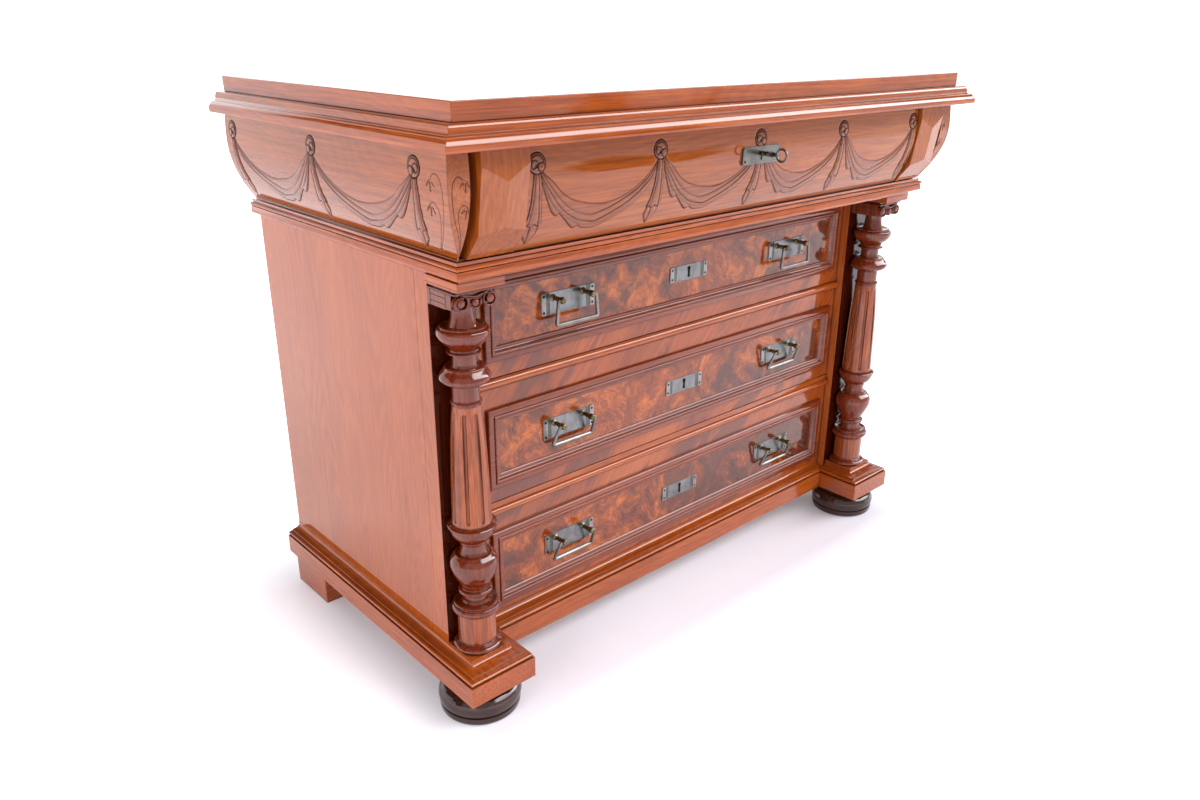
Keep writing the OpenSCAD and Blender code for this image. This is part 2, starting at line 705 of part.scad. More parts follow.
// Section of the frame moulding, drawn 22 wide and 9 high and then brought to size:
// [distance from the outer edge, height above the drawer front]
frame_drawn = concat(
    [[0, 0], [0, 4.5], [1.2, 6], [3, 6.6], [8.5, 7], [9, 6]],
    arc(11.6, 6.2, 2.6, 2.8, 175, 0, 7),
    [[14.4, 6]],
    arc(19.4, 6.4, 4.6, 3.6, 185, 270, 5),
    [[20.8, 2.6], [22, 1.2], [22, 0]]
);
frame_section = [for (p = frame_drawn) [p[0] * frame_w / 22, p[1] * frame_rise / 9]];
module frame_length_x(half_len, z, turn) intersection() {
    along_x(2 * half_len) polygon([for (p = frame_section) [-front_d - p[1], z + turn * p[0]]]);
    along_y(2 * front_d) polygon([
        [-half_len, z], [half_len, z],
        [half_len - frame_w, z + turn * frame_w], [frame_w - half_len, z + turn * frame_w]
    ]);
}
module frame_length_z(x, z0, z1, turn) intersection() {
    lengths_between(z0, z1) polygon([for (p = frame_section) [x - turn * p[0], -front_d - p[1]]]);
    along_y(2 * front_d) polygon([
        [x, z0], [x, z1], [x - turn * frame_w, z1 - frame_w], [x - turn * frame_w, z0 + frame_w]
    ]);
}
module drawer_frame(d) color(walnut) {
    frame_half = opening_half - frame_side_in;
    z0 = d[0] + d[2];
    z1 = z0 + d[3];
    frame_length_x(frame_half, z0, 1);
    frame_length_x(frame_half, z1, -1);
    frame_length_z(frame_half, z0, z1, 1);
    frame_length_z(-frame_half, z0, z1, -1);
}

// Drawer box behind a front whose back lies at depth d1
module drawer_box(box_half, d1, z, h) color(oak) {
    d0 = back_t + box_back_gap;
    z0 = z + run_gap;
    z1 = z + h - box_low;
    floor_z = z0 + box_bottom_up;
    for (side = [0, 1]) mirror([side, 0, 0]) board(box_half - box_t, box_half, d0, d1, z0, z1);
    board(box_t - box_half, box_half - box_t, d0, d0 + box_t, z0, z1);
    board(box_t - box_half, box_half - box_t, d0 + box_t, d1, floor_z, floor_z + box_bottom_t);
}
module deep_box(d) drawer_box(opening_half - box_gap, front_d - front_t, d[0], d[1]);

// Sheet-metal lock case, open inside, with a keyhole towards the front and a slot for the bolt on top
module lock_case(d0, d1, foot, top, axis_z, low) difference() {
    slot_half = bolt_w / 2 + bolt_gap;
    inner_d = d0 + lock_t;
    board(-lock_w / 2, lock_w / 2, d0, d1, foot, top);
    board(lock_t - lock_w / 2, lock_w / 2 - lock_t, inner_d, d1 - lock_t, foot + lock_t, top - lock_t);
    keyhole_cut(d1 - lock_t - 1, d1 + 1, axis_z, low);
    board(-slot_half, slot_half, inner_d, inner_d + bolt_t + 2 * bolt_gap, top - lock_t - 1, top + 1);
}

// Plate with a raised band at each end and a pin in each corner, its back at depth d0
module banded_plate(w, h, d0) {
    board(-w / 2, w / 2, d0, d0 + plate_t, -h / 2, h / 2);
    for (side = [0, 1]) mirror([side, 0, 0]) {
        board(w / 2 - band_w, w / 2, d0 + plate_t, d0 + plate_t + band_t, -h / 2, h / 2);
        for (s = [-1, 1]) translate([w / 2 - band_w / 2, -d0 - plate_t - band_t, s * (h / 2 - band_w / 2)])
            rotate([90, 0, 0]) cylinder(h = pin_d / 4, d1 = pin_d, d2 = 0.7 * pin_d, $fn = 24);
    }
}

module drawer_lock(d) color(nickel) {
    axis_z = key_z(d) + keyhole_top;
    back_d = front_d - front_t;
    top = d[0] + d[1] - front_gap;
    difference() {
        translate([0, 0, key_z(d)]) banded_plate(escutcheon_w, escutcheon_h, front_d);
        keyhole_cut(front_d - 1, front_d + plate_t + 1, axis_z, keyhole_slot_h);
    }
    lock_case(back_d, lock_front_d, key_z(d) - lock_low, top, axis_z, keyhole_slot_h);
    board(-bolt_w / 2, bolt_w / 2, back_d + lock_t, back_d + lock_t + bolt_t, key_z(d), top - lock_t);
}

// Handles: the middle of a plate, and its two posts with cross-bored heads
function plate_z(d) = frame_mid(d) + handle_up;
function pivot_z(d) = plate_z(d) + pivot_up;
module handle_post() difference() {
    r = head_d / 2;
    out = pivot_out - plate_t;
    rotate([90, 0, 0]) rotate_extrude($fn = 32) polygon([
        [0, 0], [shank_d / 2 + 2, 0], [shank_d / 2 + 2, 1.4], [shank_d / 2, 2.4], [shank_d / 2, out - r],
        [r - 0.8, out - r], [r, out - 0.6 * r], [r, out + 0.6 * r], [0.6 * r, out + r], [0, out + r]
    ]);
    translate([-r - 1, -out, 0]) rotate([0, 90, 0])
        cylinder(h = 2 * r + 2, d = bail_pin_d + 2 * bail_pin_gap, $fn = 32);
}
module drawer_plates(d) color(nickel) for (side = [-1, 1]) translate([side * handle_x, 0, 0]) {
    translate([0, 0, plate_z(d)]) banded_plate(plate_w, plate_h, front_d);
    for (s = [-1, 1]) translate([s * post_spacing / 2, -front_d - plate_t, pivot_z(d)]) handle_post();
}

// Bail: two pins turned inwards through the posts, two splayed legs and a bar
module bail() {
    leg_x = post_spacing / 2 + head_d / 2 + leg_gap + wire_d / 2;
    lean = atan2(bail_splay, bail_drop);
    for (side = [0, 1]) mirror([side, 0, 0]) {
        translate([leg_x, 0, 0]) {
            sphere(d = wire_d, $fn = 32);
            rotate([0, 180 - lean, 0]) cylinder(h = bail_drop / cos(lean), d = wire_d, $fn = 32);
            rotate([0, -90, 0]) cylinder(h = wire_d / 2 + leg_gap + head_d, d = bail_pin_d, $fn = 32);
        }
        translate([leg_x + bail_splay, 0, -bail_drop]) {
            sphere(d = wire_d, $fn = 32);
            rotate([0, -90, 0]) cylinder(h = leg_x + bail_splay, d = wire_d, $fn = 32);
        }
    }
}
module drawer_bail(d, side) color(nickel)
    translate([side * handle_x, -front_d - pivot_out, pivot_z(d)]) rotate([d[4], 0, 0]) bail();

// Frieze drawer
frieze_front_half = facet_x0 - front_gap;
frieze_inner_d = frieze_d - swell_in - frieze_front_t;
key_axis_z = frieze_z + key_up;
frieze_top = cornice_z - front_gap;
module swelling_front() {
    w = frieze_front_half;
    intersection() {
        frieze_mass();
        board(-w, w, frieze_inner_d, 2 * cornice_d, frieze_z + front_gap, frieze_top);
    }
}
module frieze_drawer_front() color(walnut) difference() {
    swelling_front();
    board(-lock_w / 2, lock_w / 2, frieze_inner_d - 1, frieze_inner_d + frieze_lock_d,
        key_axis_z - lock_low, frieze_top + 1);
    keyhole_cut(frieze_inner_d - 1, frieze_d + 1, key_axis_z, keyhole_low);
}
module frieze_drawer_box() drawer_box(facet_x0 - box_gap, frieze_inner_d, frieze_z, frieze_h);

module frieze_drawer_plate() color(nickel) difference() {
    translate([0, 0, key_axis_z - frieze_plate_low]) board(-frieze_plate_w / 2, frieze_plate_w / 2,
        frieze_d - swell_in / 4, frieze_d + frieze_plate_out, -frieze_plate_h / 2, frieze_plate_h / 2);
    swelling_front();
    keyhole_cut(frieze_d - swell_in, frieze_d + frieze_plate_out + 1, key_axis_z, keyhole_low);
}
module frieze_drawer_lock() color(steel) lock_case(frieze_inner_d, frieze_inner_d + frieze_lock_d,
    key_axis_z - lock_low, frieze_top, key_axis_z, keyhole_low);

// The bolt stands at the back of the lock case and rises into a mortise in the cornice
bolt_d = frieze_inner_d + lock_t + bolt_gap;
module frieze_drawer_bolt() color(steel)
    board(-bolt_w / 2, bolt_w / 2, bolt_d, bolt_d + bolt_t, key_axis_z, frieze_top - bolt_gap);
module bolt_mortise() board(-bolt_w / 2 - bolt_gap, bolt_w / 2 + bolt_gap,
    bolt_d - bolt_gap, bolt_d + bolt_t + bolt_gap, frieze_top, frieze_top + bolt_throw + bolt_gap);

// Key: shaft with collars, a ring bow that stands upright and a bit inside the lock.
// Each collar gives [distance from the plate, length, diameter].
collars = [[2.5, 1.6, 8], [8, 4, 7.4], [14.5, 1.6, 8]];
module key() color(nickel) {
    face_d = frieze_d + frieze_plate_out;
    tip_d = bolt_d + bolt_t + bolt_gap;
    bow_w = bow_h * 0.92;
    bow_d = frieze_d + key_reach - bow_w / 2;
    translate([0, 0, key_axis_z]) {
        translate([0, -tip_d, 0]) rotate([90, 0, 0])
            cylinder(h = bow_d - bow_w / 2 - tip_d + 1, d = shaft_d, $fn = 32);
        for (c = collars) translate([0, -face_d - c[0], 0])
            rotate([90, 0, 0]) cylinder(h = c[1], d = c[2], $fn = 32);
        translate([0, -bow_d, 0]) rotate([0, 90, 0]) difference() {
            cylinder(h = bow_wire, d = bow_w, center = true);
            cylinder(h = bow_wire + 1, d = bow_w - 2 * bow_wire, center = true);
        }
        board(-bit_t / 2, bit_t / 2, tip_d, tip_d + bit_l, -bit_r, 0);
    }
}

at_wall() bun_foot_left();
at_wall() bun_foot_right();
at_wall() back_foot_left();
at_wall() back_foot_right();
at_wall() base_front();
at_wall() base_left();
at_wall() base_right();
at_wall() bottom_board();
at_wall() side_panel_left();
at_wall() side_panel_right();
at_wall() back_panel();
at_wall() stile_left();
at_wall() stile_right();
at_wall() rail_lower();
at_wall() rail_upper();
at_wall() waist_board();
at_wall() waist_moulding_front();
at_wall() waist_moulding_left();
at_wall() waist_moulding_right();
at_wall() column(-1);  // column_left
at_wall() column(1);  // column_right
at_wall() capital_left();
at_wall() capital_right();
at_wall() impost_left();
at_wall() impost_right();
at_wall() frieze_side_left();
at_wall() frieze_side_right();
at_wall() facet_block_left();
at_wall() facet_block_right();
at_wall() cornice_front();
at_wall() cornice_left();
at_wall() cornice_right();
at_wall() top_board();
at_wall() drawer_front(deep[0]);  // drawer_1_front
at_wall() drawer_frame(deep[0]);  // drawer_1_frame
at_wall() deep_box(deep[0]);  // drawer_1_box
at_wall() drawer_lock(deep[0]);  // drawer_1_lock
at_wall() drawer_plates(deep[0]);  // drawer_1_plates
at_wall() drawer_bail(deep[0], -1);  // drawer_1_bail_left
at_wall() drawer_bail(deep[0], 1);  // drawer_1_bail_right
at_wall() drawer_front(deep[1]);  // drawer_2_front
at_wall() drawer_frame(deep[1]);  // drawer_2_frame
at_wall() deep_box(deep[1]);  // drawer_2_box
at_wall() drawer_lock(deep[1]);  // drawer_2_lock
at_wall() drawer_plates(deep[1]);  // drawer_2_plates
at_wall() drawer_bail(deep[1], -1);  // drawer_2_bail_left
at_wall() drawer_bail(deep[1], 1);  // drawer_2_bail_right
at_wall() drawer_front(deep[2]);  // drawer_3_front
at_wall() drawer_frame(deep[2]);  // drawer_3_frame
at_wall() deep_box(deep[2]);  // drawer_3_box
at_wall() drawer_lock(deep[2]);  // drawer_3_lock
at_wall() drawer_plates(deep[2]);  // drawer_3_plates
at_wall() drawer_bail(deep[2], -1);  // drawer_3_bail_left
at_wall() drawer_bail(deep[2], 1);  // drawer_3_bail_right
at_wall() frieze_drawer_front();
at_wall() frieze_drawer_box();
at_wall() frieze_drawer_plate();
at_wall() frieze_drawer_lock();
at_wall() frieze_drawer_bolt();
at_wall() key();
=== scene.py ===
"""Two-storey commode with turned corner columns: its looks, built over the frame of solids.

Lengths are millimetres and become metres where a mesh is made; the camera, the floor, the lights and the
textures are in metres. "Depth" is the distance from the wall: the wall plane lies at y = +BACK.
"""

from math import acos, asin, ceil, cos, degrees, hypot, pi, radians, sin, sqrt

import bmesh
import bpy
import numpy as np
from mathutils import Matrix, Vector
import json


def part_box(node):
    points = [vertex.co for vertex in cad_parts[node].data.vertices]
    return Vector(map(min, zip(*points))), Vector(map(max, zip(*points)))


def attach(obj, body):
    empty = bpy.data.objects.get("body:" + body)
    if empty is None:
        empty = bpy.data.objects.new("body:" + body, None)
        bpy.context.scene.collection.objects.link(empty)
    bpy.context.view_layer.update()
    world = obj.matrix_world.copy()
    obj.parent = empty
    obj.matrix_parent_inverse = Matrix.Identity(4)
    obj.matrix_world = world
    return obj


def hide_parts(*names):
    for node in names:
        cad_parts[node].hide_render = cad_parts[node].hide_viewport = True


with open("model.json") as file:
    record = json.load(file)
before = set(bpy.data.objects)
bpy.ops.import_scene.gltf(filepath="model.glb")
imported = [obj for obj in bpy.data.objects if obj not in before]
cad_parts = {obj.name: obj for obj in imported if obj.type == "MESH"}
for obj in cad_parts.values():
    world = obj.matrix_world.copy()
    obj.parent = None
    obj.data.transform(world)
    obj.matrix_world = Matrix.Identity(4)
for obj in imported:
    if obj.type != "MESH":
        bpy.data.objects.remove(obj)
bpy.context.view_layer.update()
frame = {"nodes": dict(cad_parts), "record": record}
nodes = frame["nodes"]

MM = 0.001
BACK = 324.75
# The camera's place in metres, its turns in radians and its lens in millimetres
CAMERA_PLACE = (-1.1163, -1.15425, 0.9519)
CAMERA_PITCH, CAMERA_ROLL, CAMERA_YAW = 0.3824, -0.0083, -0.7414
CAMERA_LENS, SENSOR_W = 28.24, 36
FAR_CLIP = 60


def side_name(side):
    return "left" if side < 0 else "right"


def new_object(name, data):
    obj = bpy.data.objects.new(name, data)
    bpy.context.scene.collection.objects.link(obj)
    return obj


def camera():
    """Camera at the photograph's place and angle."""
    data = bpy.data.cameras.new("camera")
    data.lens = CAMERA_LENS
    data.sensor_width = SENSOR_W
    data.clip_end = FAR_CLIP
    cam = new_object("camera", data)
    turn = Matrix.Rotation(CAMERA_YAW, 3, "Z") @ Matrix.Rotation(-CAMERA_PITCH, 3, "X")
    right, ahead, up = (turn @ Matrix.Rotation(CAMERA_ROLL, 3, "Y")).col
    m = Matrix.Identity(4)
    for i in range(3):
        m[i][0], m[i][1], m[i][2], m[i][3] = right[i], up[i], -ahead[i], CAMERA_PLACE[i]
    cam.matrix_world = m
    bpy.context.scene.camera = cam


camera()


class Nodes:
    """A node tree, with short calls to add and join nodes."""

    def __init__(self, owner):
        owner.use_nodes = True
        self.t = owner.node_tree

    def add(self, kind, inputs=None, **props):
        n = self.t.nodes.new("ShaderNode" + kind)
        for k, v in props.items():
            setattr(n, k, v)
        for k, v in (inputs or {}).items():
            self.put(n.inputs[k], v)
        return n

    def put(self, socket, value):
        if isinstance(value, bpy.types.NodeSocket):
            self.t.links.new(value, socket)
        else:
            socket.default_value = value

    def math(self, op, a, b=0.0):
        return self.add("Math", {0: a, 1: b}, operation=op).outputs[0]

    def plus(self, a, b):
        return self.math("ADD", a, b)

    def minus(self, a, b):
        return self.math("SUBTRACT", a, b)

    def times(self, a, b):
        return self.math("MULTIPLY", a, b)

    def total(self, *terms):
        """Sum of terms, each a value and its weight."""
        parts = [self.times(value, weight) for value, weight in terms]
        out = parts[0]
        for part in parts[1:]:
            out = self.plus(out, part)
        return out

    def vector(self, op, a, b=(0.0, 0.0, 0.0)):
        n = self.add("VectorMath", {0: a, 1: b}, operation=op)
        return n.outputs["Value" if op in ("LENGTH", "DISTANCE") else "Vector"]

    def fade(self, value, start, end, low, high):
        """Eased step from low to high while the value runs from start to end."""
        n = self.add("MapRange", {"Value": value, "From Min": start, "From Max": end, "To Min": low,
                                  "To Max": high}, interpolation_type="SMOOTHSTEP")
        return n.outputs["Result"]

    def ramp(self, fac, *stops):
        n = self.add("ValToRGB", {"Fac": fac})
        els = n.color_ramp.elements
        while len(els) < len(stops):
            els.new(0.5)
        for e, (pos, col) in zip(els, stops):
            e.position = pos
            e.color = (*col, 1)
        return n.outputs["Color"]

    def grey(self, fac, lo, hi, at0=0.0, at1=1.0):
        return self.ramp(fac, (at0, (lo, lo, lo)), (at1, (hi, hi, hi)))

    def mix(self, fac, a, b, blend="MIX"):
        n = self.add("Mix", data_type="RGBA", blend_type=blend)
        self.put(n.inputs[0], fac)
        self.put(n.inputs[6], a if isinstance(a, bpy.types.NodeSocket) else (*a, 1))
        self.put(n.inputs[7], b if isinstance(b, bpy.types.NodeSocket) else (*b, 1))
        return n.outputs[2]

    def noise(self, vector, scale, detail=4.0, rough=0.55, distortion=0.0, output="Fac"):
        n = self.add("TexNoise", {"Scale": scale, "Detail": detail, "Roughness": rough,
                                  "Distortion": distortion, "Vector": vector})
        return n.outputs[output]


class Material(Nodes):
    """A material's node tree, with its main shader."""

    def __init__(self, name):
        self.mat = bpy.data.materials.new(name)
        super().__init__(self.mat)
        self.shader = self.t.nodes["Principled BSDF"]

    def set(self, **values):
        """Puts values or links on the shader's inputs; an underscore stands for a space."""
        for name, value in values.items():
            self.put(self.shader.inputs[name.replace("_", " ")], value)

    def place(self, scale=(1, 1, 1), turn=(0, 0, 0), shift=(0, 0, 0)):
        """Object coordinates, turned first and then scaled."""
        whole = self.add("TexCoord").outputs["Object"]
        turned = self.add("Mapping", {"Rotation": turn, "Vector": whole}).outputs["Vector"]
        scaled = self.add("Mapping", {"Scale": scale, "Location": shift, "Vector": turned})
        return scaled.outputs["Vector"]

    def bump(self, height, strength, distance, normal=None):
        n = self.add("Bump", {"Height": height, "Strength": strength, "Distance": distance})
        if normal is not None:
            self.put(n.inputs["Normal"], normal)
        return n.outputs["Normal"]


def stretched(axis, along, across):
    """Scale of a mapping that draws a texture out along one axis."""
    s = [across, across, across]
    s["xyz".index(axis)] = along
    return tuple(s)


def varnish(t, coat=1.0):
    """Clear polish over a matt ground, so that only the coat mirrors."""
    t.set(Specular_IOR_Level=0.0 if coat else 0.4, Coat_Weight=coat, Coat_Roughness=0.03, Coat_IOR=1.5)


def waviness(t):
    """Slow unevenness of a hand-polished face."""
    return t.bump(t.noise(t.place((7, 7, 7)), 1.0, 1.0), 0.06, 0.004)


def darker(colour, times):
    return tuple(c * times for c in colour)


def wood(name, axis, light, mid, dark, coat=1.0, figure=0.05, streak=0.36, cloud=0.22, pores=1.0, seed=0.0,
         carved=False, lit_crests=False, smoky=0.0, lean=0.0):
    """Polished wood with its grain along one axis: year rings, streaks, pores and a varnish coat.

    smoky adds the purple-brown patches of figured walnut, lit_crests paints a highlight on the crests of
    turned or carved work, and carved paints shade into the cuts of a face by its carve attribute and darkens
    its drapery by its drape_tone_and_shade attribute, a tone with painted shade at the fold edges. Tight
    corners and gaps get painted shade too.
    """
    t = Material(name)
    shift = (seed * 1.7, seed * 0.9, seed * 1.3)
    turn = (0, lean, 0)
    rings = t.noise(t.place(stretched(axis, 1.1, 7.0), turn, shift), 1.0, 2.0, 0.4, 0.35)
    bands = t.math("SINE", t.times(rings, 300.0))
    streaks = t.noise(t.place(stretched(axis, 7.0, 260.0), turn, shift), 1.0, 5.0, 0.66)
    patch = t.noise(t.place(stretched(axis, 1.6, 6.0), turn, shift), 1.0, 3.0, 0.5, 0.4)
    fibre = t.noise(t.place(stretched(axis, 25.0, 900.0), turn, shift), 1.0, 3.0)
    tone = t.total((bands, 0.5 * figure), (streaks, streak * 2.2), (patch, cloud * 2.2), (fibre, 0.25))
    middle = 1.1 * (streak + cloud) + 0.125
    colour = t.ramp(t.minus(tone, middle - 0.5), (0.26, dark), (0.5, mid), (0.76, light))
    pore = t.noise(t.place(stretched(axis, 30.0, 700.0), turn, shift), 1.0, 2.0, 0.5)
    pore_mask = t.grey(pore, 0.0, 1.0, 0.62, 0.74)
    colour = t.mix(t.times(pore_mask, 0.4 * pores), colour, darker(dark, 0.4))
    if smoky:
        smoke = t.noise(t.place(stretched(axis, 6.0, 17.0), turn, shift), 1.0, 4.0, 0.55, 0.5)
        colour = t.mix(t.grey(smoke, 0.0, smoky, 0.52, 0.60), colour, (0.080, 0.018, 0.010))
    curvature = t.add("NewGeometry").outputs["Pointiness"]
    if lit_crests:
        # Painted highlight: convex crests are lightened towards the light colour.
        edge = t.grey(curvature, 0.0, 1.0, 0.53, 0.62)
        colour = t.mix(t.times(edge, 0.25), colour, light)
    # Painted shade: concave spots are darkened.
    shaded_hollow = t.grey(curvature, 1.0, 0.0, 0.39, 0.485)
    colour = t.mix(t.times(shaded_hollow, 0.75), colour, darker(dark, 0.3))
    # Painted shade: ambient occlusion darkens crevices, grooves and the gaps between parts.
    near = t.add("AmbientOcclusion", {"Distance": 0.007}, samples=6)
    colour = t.mix(t.grey(near.outputs["AO"], 0.8, 0.0, 0.30, 0.72), colour, darker(dark, 0.3))
    if carved:
        # Drapery tone, deeper at the fold edges where it is painted shade.
        drape_tone_and_shade = t.add("Attribute", attribute_name="drape_tone_and_shade").outputs["Fac"]
        colour = t.mix(drape_tone_and_shade, colour, (0.085, 0.017, 0.010))
        # Painted shade: the cuts of the carving are darkened nearly to black.
        cut = t.add("Attribute", attribute_name="carve").outputs["Fac"]
        colour = t.mix(t.grey(cut, 0.0, 0.95, 0.05, 0.65), colour, (0.012, 0.004, 0.003))
    varnish(t, coat)
    if carved:
        t.set(Coat_Weight=t.grey(cut, 1.0, 0.15, 0.1, 0.7))
    soft = waviness(t)
    t.set(Base_Color=colour, Roughness=t.plus(t.times(streaks, 0.2), 0.35),
          Normal=t.bump(t.minus(streaks, pore_mask), 0.10, 0.0004, soft), Coat_Normal=soft)
    return t.mat


# Colours of the woods, each as light, middle and dark
WALNUT = ((0.390, 0.090, 0.014), (0.265, 0.050, 0.006), (0.130, 0.020, 0.003))
PANEL = ((0.38, 0.096, 0.018), (0.29, 0.060, 0.009), (0.18, 0.030, 0.004))
FACET = ((0.34, 0.092, 0.014), (0.24, 0.054, 0.007), (0.15, 0.028, 0.003))
CROSS = ((0.34, 0.076, 0.011), (0.225, 0.041, 0.006), (0.110, 0.017, 0.003))
CARVED = ((0.340, 0.088, 0.012), (0.230, 0.050, 0.006), (0.120, 0.022, 0.003))
# The stile is near black: painted shade for its recess between the side panel and the column.
STILE_SHADE = ((0.060, 0.008, 0.001), (0.036, 0.004, 0.001), (0.016, 0.002, 0.001))
FRAME = ((0.230, 0.042, 0.007), (0.140, 0.021, 0.004), (0.060, 0.009, 0.003))
SOFT = ((0.46, 0.29, 0.14), (0.37, 0.215, 0.092), (0.26, 0.14, 0.055))
TURNED = ((0.220, 0.038, 0.007), (0.105, 0.014, 0.003), (0.045, 0.006, 0.002))
PALE_TURNED = ((0.340, 0.078, 0.012), (0.200, 0.036, 0.005), (0.085, 0.013, 0.003))
EBONY = ((0.048, 0.015, 0.008), (0.026, 0.008, 0.004), (0.009, 0.003, 0.002))

walnut_x = wood("walnut_along_x", "x", *WALNUT)
walnut_y = wood("walnut_along_y", "y", *WALNUT, seed=2.0)
panel_wood = wood("side_panel_walnut", "z", *PANEL, figure=0.07, streak=0.22, cloud=0.2, seed=5.0)
facet_wood = wood("facet_walnut", "z", *FACET, figure=0.08, streak=0.28, cloud=0.12, seed=9.0)
cross_wood = wood("crossbanding", "z", *CROSS, figure=0.06, streak=0.22, cloud=0.34, seed=3.0, smoky=0.75,
                  lean=-0.7)
carving = {"streak": 0.30, "cloud": 0.20, "carved": True, "lit_crests": True}
carved_x = wood("carved_walnut_along_x", "x", *CARVED, figure=0.05, seed=6.0, **carving)
carved_y = wood("carved_walnut_along_y", "y", *CARVED, figure=0.04, seed=8.0, **carving)
# Painted shade: the stiles take the near-black colours.
shaded_stile_wood = wood("stile_walnut_shaded", "z", *STILE_SHADE, seed=3.0)
frame_wood = wood("frame_walnut", "x", *FRAME, seed=7.0)
bare = {"coat": 0.0, "figure": 0.10, "streak": 0.30, "cloud": 0.16, "pores": 0.3}
inner_wood = wood("softwood", "y", *SOFT, **bare)
back_wood = wood("back_boards", "z", *SOFT, seed=1.0, **bare)
dark_wood = wood("dark_turned_wood", "z", *TURNED, figure=0.06, streak=0.30, cloud=0.12, lit_crests=True)
shaft_wood = wood("fluted_shaft_wood", "z", *PALE_TURNED, figure=0.06, streak=0.42, cloud=0.12, seed=4.0,
                  lit_crests=True)
ebonised = wood("ebonised_wood", "x", *EBONY)


def burr(name):
    """Burr walnut veneer: orange ground, drifting smoky patches, mottle and fine swirling lines."""
    t = Material(name)
    at = t.place(turn=(0, 0.55, 0))
    bent = t.mix(0.07, at, t.noise(at, 7.0, 3.0, 0.5, output="Color"), "LINEAR_LIGHT")
    swirl = t.noise(bent, 14.0, 4.0, 0.55, 0.9)
    lines = t.math("SINE", t.times(swirl, 90.0))
    mottle = t.noise(bent, 34.0, 4.0, 0.6, 0.5)
    fine = t.noise(at, 320.0, 3.0, 0.6)
    tone = t.total((swirl, 0.8), (lines, 0.045), (mottle, 0.6), (fine, 0.22))
    colour = t.ramp(t.minus(tone, 0.31), (0.30, (0.070, 0.011, 0.003)),
                    (0.48, (0.185, 0.032, 0.004)), (0.70, (0.42, 0.098, 0.009)))
    cloud = t.noise(bent, 15.0, 5.0, 0.62, 0.9)
    streaky = t.noise(t.place((30.0, 30.0, 7.0), (0, 0.8, 0)), 1.0, 4.0, 0.55, 1.2)
    drift = t.noise(bent, 3.4, 1.0, 0.5)
    smoke = t.grey(t.total((cloud, 0.34), (streaky, 0.24), (drift, 0.42)), 0.0, 1.0, 0.497, 0.548)
    colour = t.mix(t.times(smoke, 0.82), colour, (0.052, 0.012, 0.007))
    ridge = t.math("ABSOLUTE", t.minus(t.noise(bent, 26.0, 3.0, 0.5, 1.4), 0.5))
    vein = t.times(t.grey(ridge, 1.0, 0.0, 0.0, 0.022), t.grey(mottle, 0.0, 1.0, 0.45, 0.60))
    colour = t.mix(t.times(vein, 0.55), colour, (0.045, 0.008, 0.003))
    varnish(t)
    soft = waviness(t)
    t.set(Base_Color=colour, Roughness=t.plus(t.times(fine, 0.1), 0.35),
          Normal=t.bump(fine, 0.05, 0.0004, soft), Coat_Normal=soft)
    return t.mat


def metal(name, light, dark, rough):
    """Tarnished metal: cloudy patches, specks and fine scratches."""
    t = Material(name)
    at = t.place()
    cloud = t.noise(at, 55.0, 4.0, 0.55, 0.3)
    scratch = t.noise(t.place((900, 60, 60)), 1.0, 2.0)
    spots = t.noise(at, 420.0, 3.0, 0.7)
    colour = t.ramp(t.total((cloud, 0.8), (spots, 0.2)), (0.30, dark), (0.66, light))
    scars = t.plus(scratch, t.times(spots, 0.6))
    t.set(Base_Color=colour, Metallic=1.0, Roughness=t.plus(t.times(cloud, 0.22), rough),
          Normal=t.bump(scars, 0.08, 0.0003))
    return t.mat


burr_wood = burr("burr_walnut")
nickel = metal("tarnished_nickel", (0.200, 0.200, 0.214), (0.110, 0.104, 0.098), 0.18)
bail_nickel = metal("bail_nickel", (0.235, 0.224, 0.212), (0.120, 0.110, 0.096), 0.26)
# Lighter nickel for the raised end strips: a painted highlight.
lit_strip_nickel = metal("plate_end_lit_nickel", (0.285, 0.270, 0.272), (0.175, 0.160, 0.150), 0.22)
dull_nickel = metal("dull_plate_cove", (0.115, 0.112, 0.092), (0.070, 0.066, 0.050), 0.26)
old_nickel = metal("frieze_plate_nickel", (0.205, 0.200, 0.185), (0.120, 0.115, 0.100), 0.20)
brass = metal("old_brass", (0.215, 0.165, 0.080), (0.070, 0.050, 0.022), 0.22)
steel = metal("lock_steel", (0.16, 0.155, 0.15), (0.07, 0.065, 0.06), 0.35)
dark_steel = metal("dark_key_steel", (0.105, 0.095, 0.085), (0.040, 0.035, 0.030), 0.20)
# Near-black steel for the pins, and for the painted shade behind the keyholes.
pin_and_hole_shade_steel = metal("dark_pin_and_hole_shade_steel", (0.010, 0.009, 0.008), (0.004, 0.004, 0.003), 0.45)
PLATE_METALS = [nickel, brass, pin_and_hole_shade_steel, lit_strip_nickel, dull_nickel, steel]
POSTS, PINS_AND_HOLE_SHADE, STRIPS, COVES, CASE = 1, 2, 3, 4, 5

SHARP = 32
node_body = {n: b for b, ns in frame["record"]["behaviour"]["bodies"].items() for n in ns}


def finish_piece(obj, mats, body, stands_for=()):
    for m in mats if isinstance(mats, (list, tuple)) else [mats]:
        obj.data.materials.append(m)
    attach(obj, body)
    if stands_for:
        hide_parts(*stands_for)


def eased(obj, width, smooth=SHARP):
    """Rounds an object's edges that are sharper than smooth degrees, and shades it smooth between them."""
    if width:
        mod = obj.modifiers.new("ease", "BEVEL")
        mod.width = width * MM
        mod.segments = 2
        mod.limit_method = "ANGLE"
        mod.angle_limit = radians(smooth)
    obj.data.shade_smooth()
    obj.data.set_sharp_from_angle(angle=radians(smooth))
    return obj


